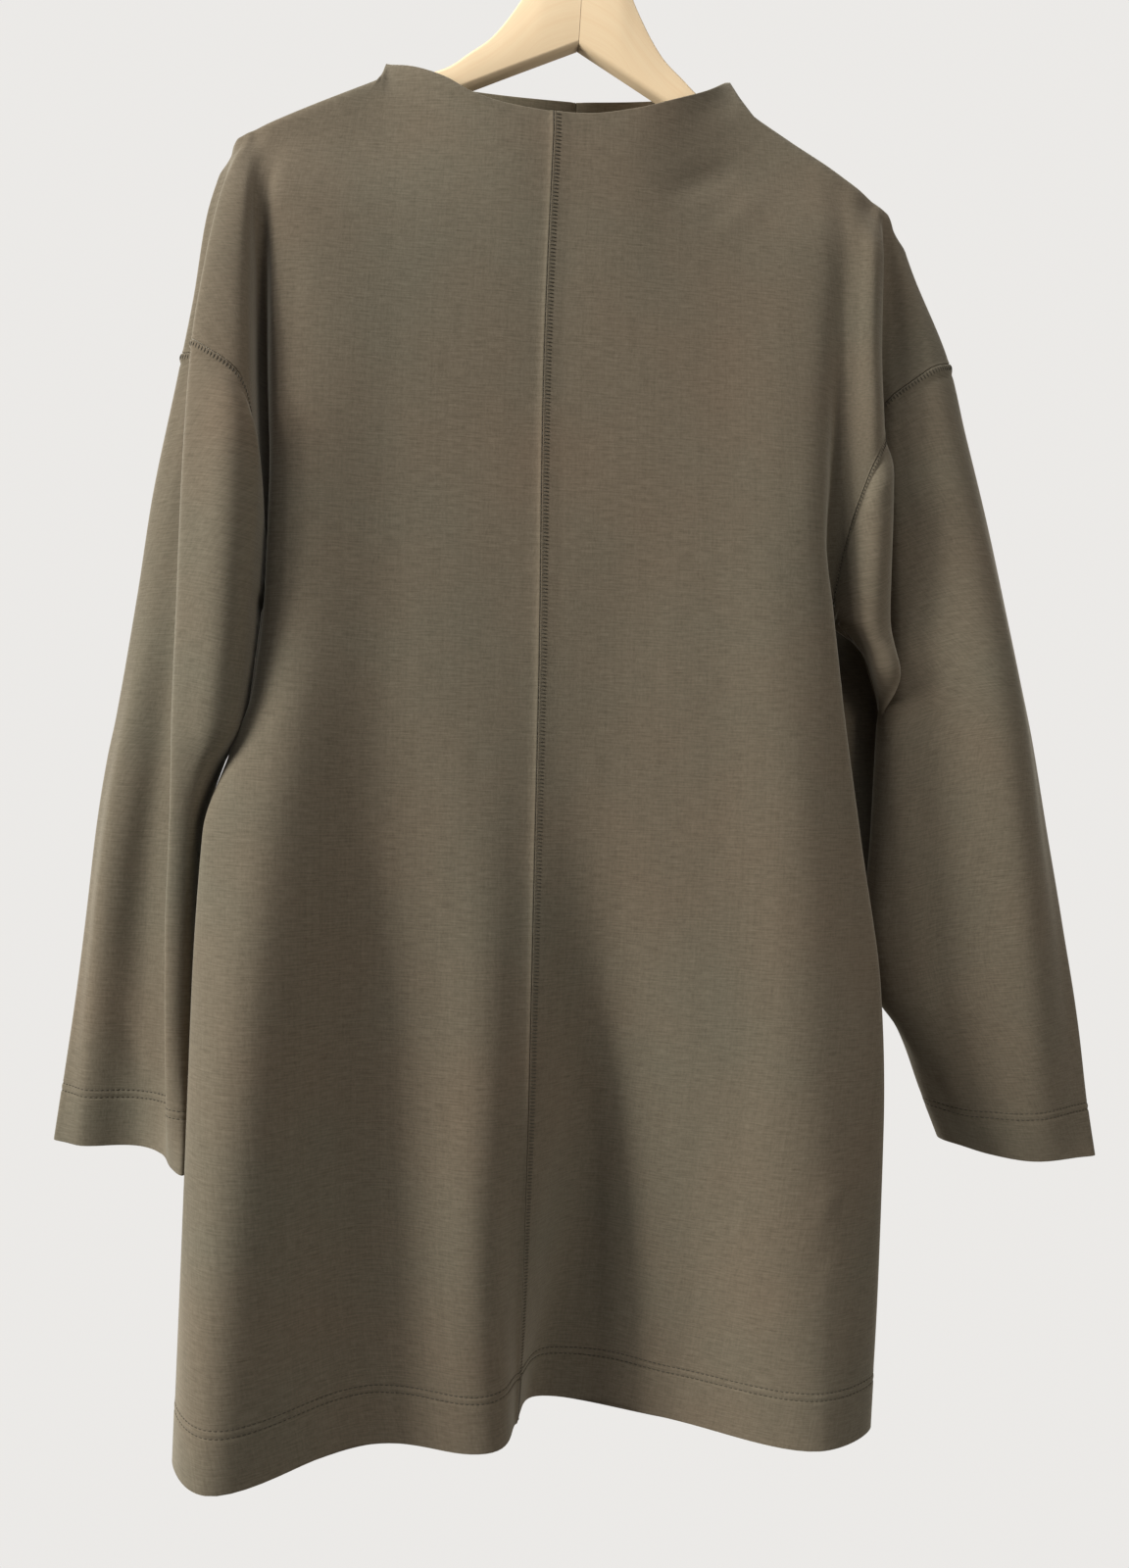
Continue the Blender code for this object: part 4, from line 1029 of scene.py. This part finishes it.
# %% Threads along the seams
ROD_SIDES = 6
ROD_PROFILE = ((0.0, 0.45), (0.18, 0.9), (0.5, 1.0), (0.82, 0.9), (1.0, 0.45))
RUNG_PITCH, RUNG_RADIUS = 2.4, 0.42
ROD_ARCH, ROD_SINK, ROD_FLATNESS = 0.9, 0.35, 0.7
RUNG_NEAR, RUNG_FAR, RUNG_SLANT = 0.9, 5.0, 0.3
ROWS_LEFT_OUT = 2
TWIN_PITCH, TWIN_LENGTH, TWIN_RADIUS = 3.4, 2.7, 0.38


def line_on(panel, edge, distance, keep):
    """Points on the cloth's outer side at a distance from one edge, and its normals there.

    The edge is one of first, last, top and bottom, and keep says which rows or columns count.
    """
    field, outer, normal = panel[edge], panel["outer"], panel["normal"]
    if edge in ("top", "bottom"):
        field, outer, normal = field.T, outer.transpose(1, 0, 2), normal.transpose(1, 0, 2)
    field, outer, normal = field[keep], outer[keep], normal[keep]
    backwards = edge in ("last", "bottom")
    if backwards:
        field, outer, normal = field[:, ::-1], outer[:, ::-1], normal[:, ::-1]
    field = np.where(np.isfinite(outer[..., 0]), field, -np.inf if backwards else np.inf)
    before = np.clip((field < distance).sum(axis=1) - 1, 0, field.shape[1] - 2)
    line = np.arange(len(field))
    near, far = field[line, before], field[line, before + 1]
    share = ((distance - near) / np.maximum(far - near, 1e-9))[:, None]
    points = outer[line, before] * (1 - share) + outer[line, before + 1] * share
    return points, unit(normal[line, before] * (1 - share) + normal[line, before + 1] * share)


def spaced(points, normals, lengths):
    """Points and normals of the line at the given lengths along it."""
    walked = np.concatenate([[0], np.cumsum(np.linalg.norm(np.diff(points, axis=0), axis=1))])
    place = np.stack([np.interp(lengths, walked, points[:, k]) for k in range(3)], axis=1)
    upward = unit(np.stack([np.interp(lengths, walked, normals[:, k]) for k in range(3)], axis=1))
    return place, upward


def line_length(points):
    """Length of the line through the points."""
    return float(np.linalg.norm(np.diff(points, axis=0), axis=1).sum())


def tube(ring_count, sides):
    """Point numbers of rings of points, and the quads between each ring and the next."""
    number = np.arange(ring_count * sides).reshape(ring_count, sides)
    around = np.roll(number, -1, axis=1)
    quads = np.stack([number[:-1], around[:-1], around[1:], number[1:]], axis=-1)
    return number, quads.reshape(-1, 4)


def rods(starts, ends, upward, radius):
    """Points and faces of a tapered rod from each start to each end, flattened against the cloth."""
    along = unit(ends - starts)
    side = unit(np.cross(along, upward))
    turn = 2 * pi * np.arange(ROD_SIDES) / ROD_SIDES
    rings = []
    for share, swell in ROD_PROFILE:
        lift = radius * (ROD_ARCH * sin(pi * share) - ROD_SINK)
        circle = np.cos(turn)[:, None, None] * side + ROD_FLATNESS * np.sin(turn)[:, None, None] * upward
        rings.append(starts + (ends - starts) * share + upward * lift + circle * radius * swell)
    points = np.stack(rings, axis=0).transpose(2, 0, 1, 3)
    number, quads = tube(len(ROD_PROFILE), ROD_SIDES)
    foot, tip = number[0], number[-1]
    caps = np.stack([foot[[0, 5, 4, 3]], foot[[3, 2, 1, 0]], tip[:4], tip[[3, 4, 5, 0]]])
    first_points = np.arange(len(starts)) * number.size
    faces = np.concatenate([quads, caps])[None] + first_points[:, None, None]
    return points.reshape(-1, 3), faces.reshape(-1, 4)


def joined_rods(name, groups):
    """One object from several groups of rods."""
    points, faces, total = [], [], 0
    for starts, ends, upward, radius in groups:
        group_points, group_faces = rods(starts, ends, upward, radius)
        points.append(group_points)
        faces.append(group_faces + total)
        total += len(group_points)
    return add_piece(name, np.concatenate(points), np.concatenate(faces).tolist())


def ladder(panel, edge, keep):
    """Rungs across the band beside an edge, each a little slanted."""
    near_line, far_line = (line_on(panel, edge, distance, keep) for distance in (RUNG_NEAR, RUNG_FAR))
    count = int(line_length(near_line[0]) / RUNG_PITCH)
    shares = (np.arange(count) + 0.5) / count
    starts, upward = spaced(*near_line, shares * line_length(near_line[0]))
    shares = np.clip(shares + RUNG_SLANT / count, 0, 1)
    ends, _ = spaced(*far_line, shares * line_length(far_line[0]))
    return starts, ends, upward, RUNG_RADIUS


def running(panel, edge, distance, keep):
    """Stitches one after another along the line at a distance from an edge."""
    line = line_on(panel, edge, distance, keep)
    count = int(line_length(line[0]) / TWIN_PITCH)
    begin = np.arange(count) * TWIN_PITCH
    starts, upward = spaced(*line, begin)
    ends, _ = spaced(*line, begin + TWIN_LENGTH)
    return starts, ends, upward, TWIN_RADIUS


centre_groups, hem_groups, cuff_groups, armhole_groups = [], [], [], []
for name in ("front_right", "back_right"):
    panel = panels[name]
    centre_groups.append(ladder(panel, "first", np.arange(ROWS_LEFT_OUT, len(panel["grid"]) - ROWS_LEFT_OUT)))
centre_stitches = joined_rods("centre_seam_stitches", centre_groups)
for name, panel in panels.items():
    is_body = panel["kind"] == "body"
    columns = np.flatnonzero(panel["place"][0] <= (SIDE if is_body else SLEEVE_PLACES[-1]))
    target = hem_groups if is_body else cuff_groups
    target += [running(panel, "bottom", row, columns) for row in TWIN_ROWS]
    if not is_body:
        armhole_groups.append(ladder(panel, "top", columns))
hem_stitches = joined_rods("hem_stitches", hem_groups)
cuff_stitches = joined_rods("cuff_stitches", cuff_groups)
armhole_stitches = joined_rods("armhole_stitches", armhole_groups)
stitches = [centre_stitches, hem_stitches, cuff_stitches, armhole_stitches]
for piece in stitches:
    print(piece.name, len(piece.data.polygons), "faces")

# %% [markdown]
# The hanger's arms are flat boards with rounded edges. A section of the board is a rectangle with
# round corners, and the sections run from the joint to the rounded end. The hook is one wire of
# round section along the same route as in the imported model, worked out more finely.

# %% Hanger and hook
ARM_RING = 32
WIRE_SIDES, WIRE_STEPS = 16, 90
SHARP = radians(50)

# An arm's sections: close together under the neck, wider apart outwards, then round its end. The end
# stops a little short of a quarter turn, and its slope is that of the last stretch before it.
ARM_PLACES = np.concatenate([np.linspace(0, 100, 60), np.linspace(103, WOOD_END_X, 30)])
END_TURN, END_STEPS, END_SLOPE_RUN = pi / 2 - 0.12, 9, 5
TIP_TURN, TIP_STEPS = pi / 2 - 0.15, 6
ROUNDEST = 0.98
GRAIN_TURN = 3


def loft(name, rings, uv=None):
    """A closed surface through rings of points, with a flat cap at both ends."""
    number, quads = tube(*rings.shape[:2])
    faces = quads.tolist() + [number[0][::-1].tolist(), number[-1].tolist()]
    places = None if uv is None else uv.reshape(-1, 2)
    return add_piece(name, rings.reshape(-1, 3), faces, places, SHARP)


def round_box(half_width, half_height, radius, turn):
    """A rectangle with round corners as two coordinates: a circle moved out to each corner in turn."""
    wide = np.sign(np.cos(turn)) * (half_width - radius) + radius * np.cos(turn)
    high = np.sign(np.sin(turn)) * (half_height - radius) + radius * np.sin(turn)
    return wide, high


def wooden_arm(half, name):
    """One arm of the hanger, from the joint to its rounded end."""
    end_turn = np.linspace(0, END_TURN, END_STEPS)[1:]
    x = np.concatenate([ARM_PLACES, WOOD_END_X + WOOD_END_DEPTH * np.sin(end_turn)])
    shrink = np.concatenate([np.ones(len(ARM_PLACES)), np.cos(end_turn)])
    held = np.minimum(x, WOOD_END_X)
    top, bottom = read_table(WOOD_TOP, held)[..., 0, 0], read_table(WOOD_BOTTOM, held)[..., 0, 0]
    before, end = read_table(WOOD_TOP, np.array([WOOD_END_X - END_SLOPE_RUN, WOOD_END_X], float))[:, 0, 0]
    middle = (top + bottom) / 2 + (end - before) / END_SLOPE_RUN * (x - held)
    half_height = (top - bottom) / 2 * shrink
    radius = np.minimum(WOOD_ROUNDING, half_height * ROUNDEST)
    half_width = WOOD_THICK / 2 - WOOD_ROUNDING * (1 - shrink)
    turn = 2 * pi * (np.arange(ARM_RING) + 0.5) / ARM_RING
    y, z = round_box(half_width[:, None], half_height[:, None], radius[:, None], turn)
    ring_x, ring_z = tilted(half * np.broadcast_to(x[:, None], z.shape), middle[:, None] + z)
    ring_x = ring_x + half * SEAM_GAP / 2
    rings = np.stack([ring_x, y, ring_z], axis=-1)
    flat = np.stack([np.broadcast_to(x[:, None], z.shape), z + GRAIN_TURN * y], axis=-1)
    if half == -1:
        rings, flat = rings[:, ::-1], flat[:, ::-1]
    return loft(name, rings, flat)


def wire_line():
    """The hook's middle line in x and z: a straight stem, a soft bend, then an arc over the top."""
    foot_x, foot_z = tilted(0, WOOD_TOP[0][1][0])
    lean = tan(WOOD_TILT)
    stem = [(foot_x + rise * lean, foot_z + SEAT_GAP + rise) for rise in STEM_RISES]
    angles = np.radians(np.linspace(HOOK_START, HOOK_END, 2 * WIRE_STEPS // 3))
    middle_z = WIRE_RADIUS - HOOK_RADIUS
    arc = np.stack([HOOK_RADIUS * np.cos(angles), middle_z + HOOK_RADIUS * np.sin(angles)], axis=1)
    rising = np.array([lean, 1]) * STEM_LEAVE
    turning = np.array([sin(-angles[0]), cos(angles[0])]) * ARC_ARRIVE
    shares = np.linspace(0, 1, WIRE_STEPS // 3)[1:-1, None]
    between = bend(np.array(stem[-1]), rising, arc[0], turning, shares)
    return np.concatenate([stem, between, arc])


def steel_hook():
    """The hook: the wire's round section carried along its line, with a rounded tip."""
    line = wire_line()
    ahead = unit(np.gradient(line, axis=0))
    tip_turn = np.linspace(0, TIP_TURN, TIP_STEPS)[1:, None]
    radius = np.concatenate([np.full(len(line), WIRE_RADIUS), WIRE_RADIUS * np.cos(tip_turn[:, 0])])
    line = np.concatenate([line, line[-1] + ahead[-1] * WIRE_RADIUS * np.sin(tip_turn)])
    ahead = np.concatenate([ahead, np.repeat(ahead[-1:], len(tip_turn), axis=0)])
    side = np.stack([ahead[:, 1], -ahead[:, 0]], axis=1)[:, None, :]
    turn = (2 * pi * np.arange(WIRE_SIDES) / WIRE_SIDES)[None, :, None]
    flat = line[:, None, :] + radius[:, None, None] * np.cos(turn) * side
    depth = radius[:, None] * np.sin(turn[..., 0])
    return loft("steel_hook", np.stack([flat[..., 0], depth, flat[..., 1]], axis=-1))


arm_right, arm_left = wooden_arm(1, "wooden_arm_right"), wooden_arm(-1, "wooden_arm_left")
hook = steel_hook()
for piece, node, finish in (
    (arm_right, "hanger_arm_right", "wood"),
    (arm_left, "hanger_arm_left", "wood"),
    (hook, "hanger_hook", "steel"),
):
    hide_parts(node)
    print(piece.name, len(piece.data.polygons), "faces")

# %% [markdown]
# The knit is a dull olive brown. From close by it shows a fine grain: short dashes down the cloth
# where the stitches stand in columns, and thin streaks across it where the rows lie. Larger, very
# weak patches make it slightly warmer or greener. The wood is pale, with its grain along each arm.

# %% Materials
KNIT_DARK, KNIT_LIGHT = (0.104, 0.088, 0.063, 1), (0.196, 0.168, 0.126, 1)
KNIT_WARM, KNIT_GREEN = (1.14, 0.97, 0.90, 1), (0.90, 1.02, 1.02, 1)
WOOD_LIGHT, WOOD_DARK = (1.0, 0.8, 0.53, 1), (0.93, 0.68, 0.42, 1)
THREAD, STEEL, SHEEN = (0.072, 0.062, 0.045, 1), (0.62, 0.62, 0.62, 1), (0.8, 0.75, 0.62, 1)


def material_of(name):
    """A new material with its node tree and its main shader."""
    material = bpy.data.materials.new(name)
    material.use_nodes = True
    tree = material.node_tree
    return material, tree, tree.nodes["Principled BSDF"]


def put(tree, socket, value):
    """Links the value to the socket where it is a socket too, and sets it there where it isn't."""
    if isinstance(value, bpy.types.NodeSocket):
        tree.links.new(value, socket)
    else:
        socket.default_value = value


def fill(tree, node, **inputs):
    """The node with some of its inputs set or linked, named without their spaces."""
    names = {socket.name.replace(" ", "_"): socket for socket in node.inputs}
    for key, value in inputs.items():
        put(tree, names[key], value)
    return node


def stretched_noise(tree, place, scale, detail=2.0):
    """Noise on a stretched coordinate: scale gives the cells per metre along each axis."""
    mapping = fill(tree, tree.nodes.new("ShaderNodeMapping"), Vector=place, Scale=scale)
    noise = tree.nodes.new("ShaderNodeTexNoise")
    fill(tree, noise, Vector=mapping.outputs[0], Scale=1.0, Detail=detail, Roughness=0.6)
    return noise.outputs["Fac"]


def mixed(tree, factor, first, second, blend="MIX"):
    """A mix of two colours. Each input is a socket or a value."""
    node = tree.nodes.new("ShaderNodeMix")
    node.data_type, node.blend_type = "RGBA", blend
    sockets = [socket for socket in node.inputs if socket.type == "RGBA"]
    for socket, value in zip([node.inputs["Factor"], *sockets], (factor, first, second)):
        put(tree, socket, value)
    return next(socket for socket in node.outputs if socket.type == "RGBA")


def maths(tree, operation, *values):
    """One step of arithmetic on sockets or numbers."""
    node = tree.nodes.new("ShaderNodeMath")
    node.operation = operation
    for socket, value in zip(node.inputs, values):
        put(tree, socket, value)
    return node.outputs[0]


def blended(tree, parts, strength, middle):
    """A weighted sum of noises, spread about its middle by the strength and moved to a new middle."""
    weighted = [maths(tree, "MULTIPLY", noise, weight) for noise, weight in parts]
    total = weighted[0]
    for part in weighted[1:]:
        total = maths(tree, "ADD", total, part)
    return maths(tree, "MULTIPLY_ADD", maths(tree, "SUBTRACT", total, 0.5), strength, middle)


def knit_material():
    """Olive double knit, with its grain on the cloth's own coordinates."""
    material, tree, shader = material_of("olive_knit")
    coordinates = tree.nodes.new("ShaderNodeTexCoord")
    flat, room = coordinates.outputs["UV"], coordinates.outputs["Object"]
    dashes = stretched_noise(tree, flat, (750, 260, 1))
    streaks = stretched_noise(tree, flat, (80, 1000, 1), 3)
    columns = stretched_noise(tree, flat, (420, 14, 1))
    patches = stretched_noise(tree, room, (6, 6, 6), 3)
    grain = blended(tree, ((dashes, 0.3), (streaks, 0.55), (columns, 0.15)), 2.5, 0.5)
    colour = mixed(tree, grain, KNIT_DARK, KNIT_LIGHT)
    tint = mixed(tree, patches, KNIT_WARM, KNIT_GREEN)
    tinted = mixed(tree, 1, colour, tint, "MULTIPLY")
    relief = fill(tree, tree.nodes.new("ShaderNodeBump"), Strength=0.35, Distance=0.0004, Height=grain)
    fill(tree, shader, Base_Color=tinted, Normal=relief.outputs[0], Roughness=0.95, Specular_IOR_Level=0.15)
    fill(tree, shader, Sheen_Weight=0.55, Sheen_Roughness=0.38, Sheen_Tint=SHEEN)
    return material


def thread_material():
    """The thread of the seams, a little darker than the cloth."""
    material, tree, shader = material_of("olive_thread")
    fill(tree, shader, Base_Color=THREAD, Roughness=0.8, Specular_IOR_Level=0.25)
    return material


def wood_material():
    """Pale smooth wood with its grain along the arm."""
    material, tree, shader = material_of("pale_wood")
    flat = tree.nodes.new("ShaderNodeTexCoord").outputs["UV"]
    fibres = stretched_noise(tree, flat, (22, 700, 1), 4)
    bands = stretched_noise(tree, flat, (5, 110, 1), 2)
    grain = blended(tree, ((fibres, 0.5), (bands, 0.5)), 2.0, 0.4)
    colour = mixed(tree, grain, WOOD_LIGHT, WOOD_DARK)
    fill(tree, shader, Base_Color=colour, Roughness=0.42, Specular_IOR_Level=0.4)
    return material


def steel_material():
    """Brushed bright steel."""
    material, tree, shader = material_of("brushed_steel")
    fill(tree, shader, Base_Color=STEEL, Metallic=1, Roughness=0.3)
    return material


knit, thread, wood, steel = knit_material(), thread_material(), wood_material(), steel_material()
for piece in pieces.values():
    piece.data.materials.append(knit)
for piece in stitches:
    piece.data.materials.append(thread)
for piece in (arm_right, arm_left):
    piece.data.materials.append(wood)
hook.data.materials.append(steel)
print("materials:", ", ".join(m.name for m in (knit, thread, wood, steel)))

# %% [markdown]
# The width and length of each piece's flat cut are listed here, in metres; the area of each surface
# is printed where the pieces are built. In the dress the fronts and backs hang from the wooden arms,
# and each half of a sleeve is sewn to a front or a back. The stitches lie on the pieces.

FLAT_CUTS = {
    "front_right": (0.47, 0.93),
    "front_left": (0.47, 0.93),
    "back_right": (0.48, 0.93),
    "back_left": (0.48, 0.93),
    "sleeve_front_right": (0.24, 0.58),
    "sleeve_front_left": (0.24, 0.58),
    "sleeve_back_right": (0.22, 0.58),
    "sleeve_back_left": (0.22, 0.58),
}
for name, (width, length) in FLAT_CUTS.items():
    panel = panels[name]
    hand = name.split("_")[-1]
print(len(FLAT_CUTS), "sheets declared")
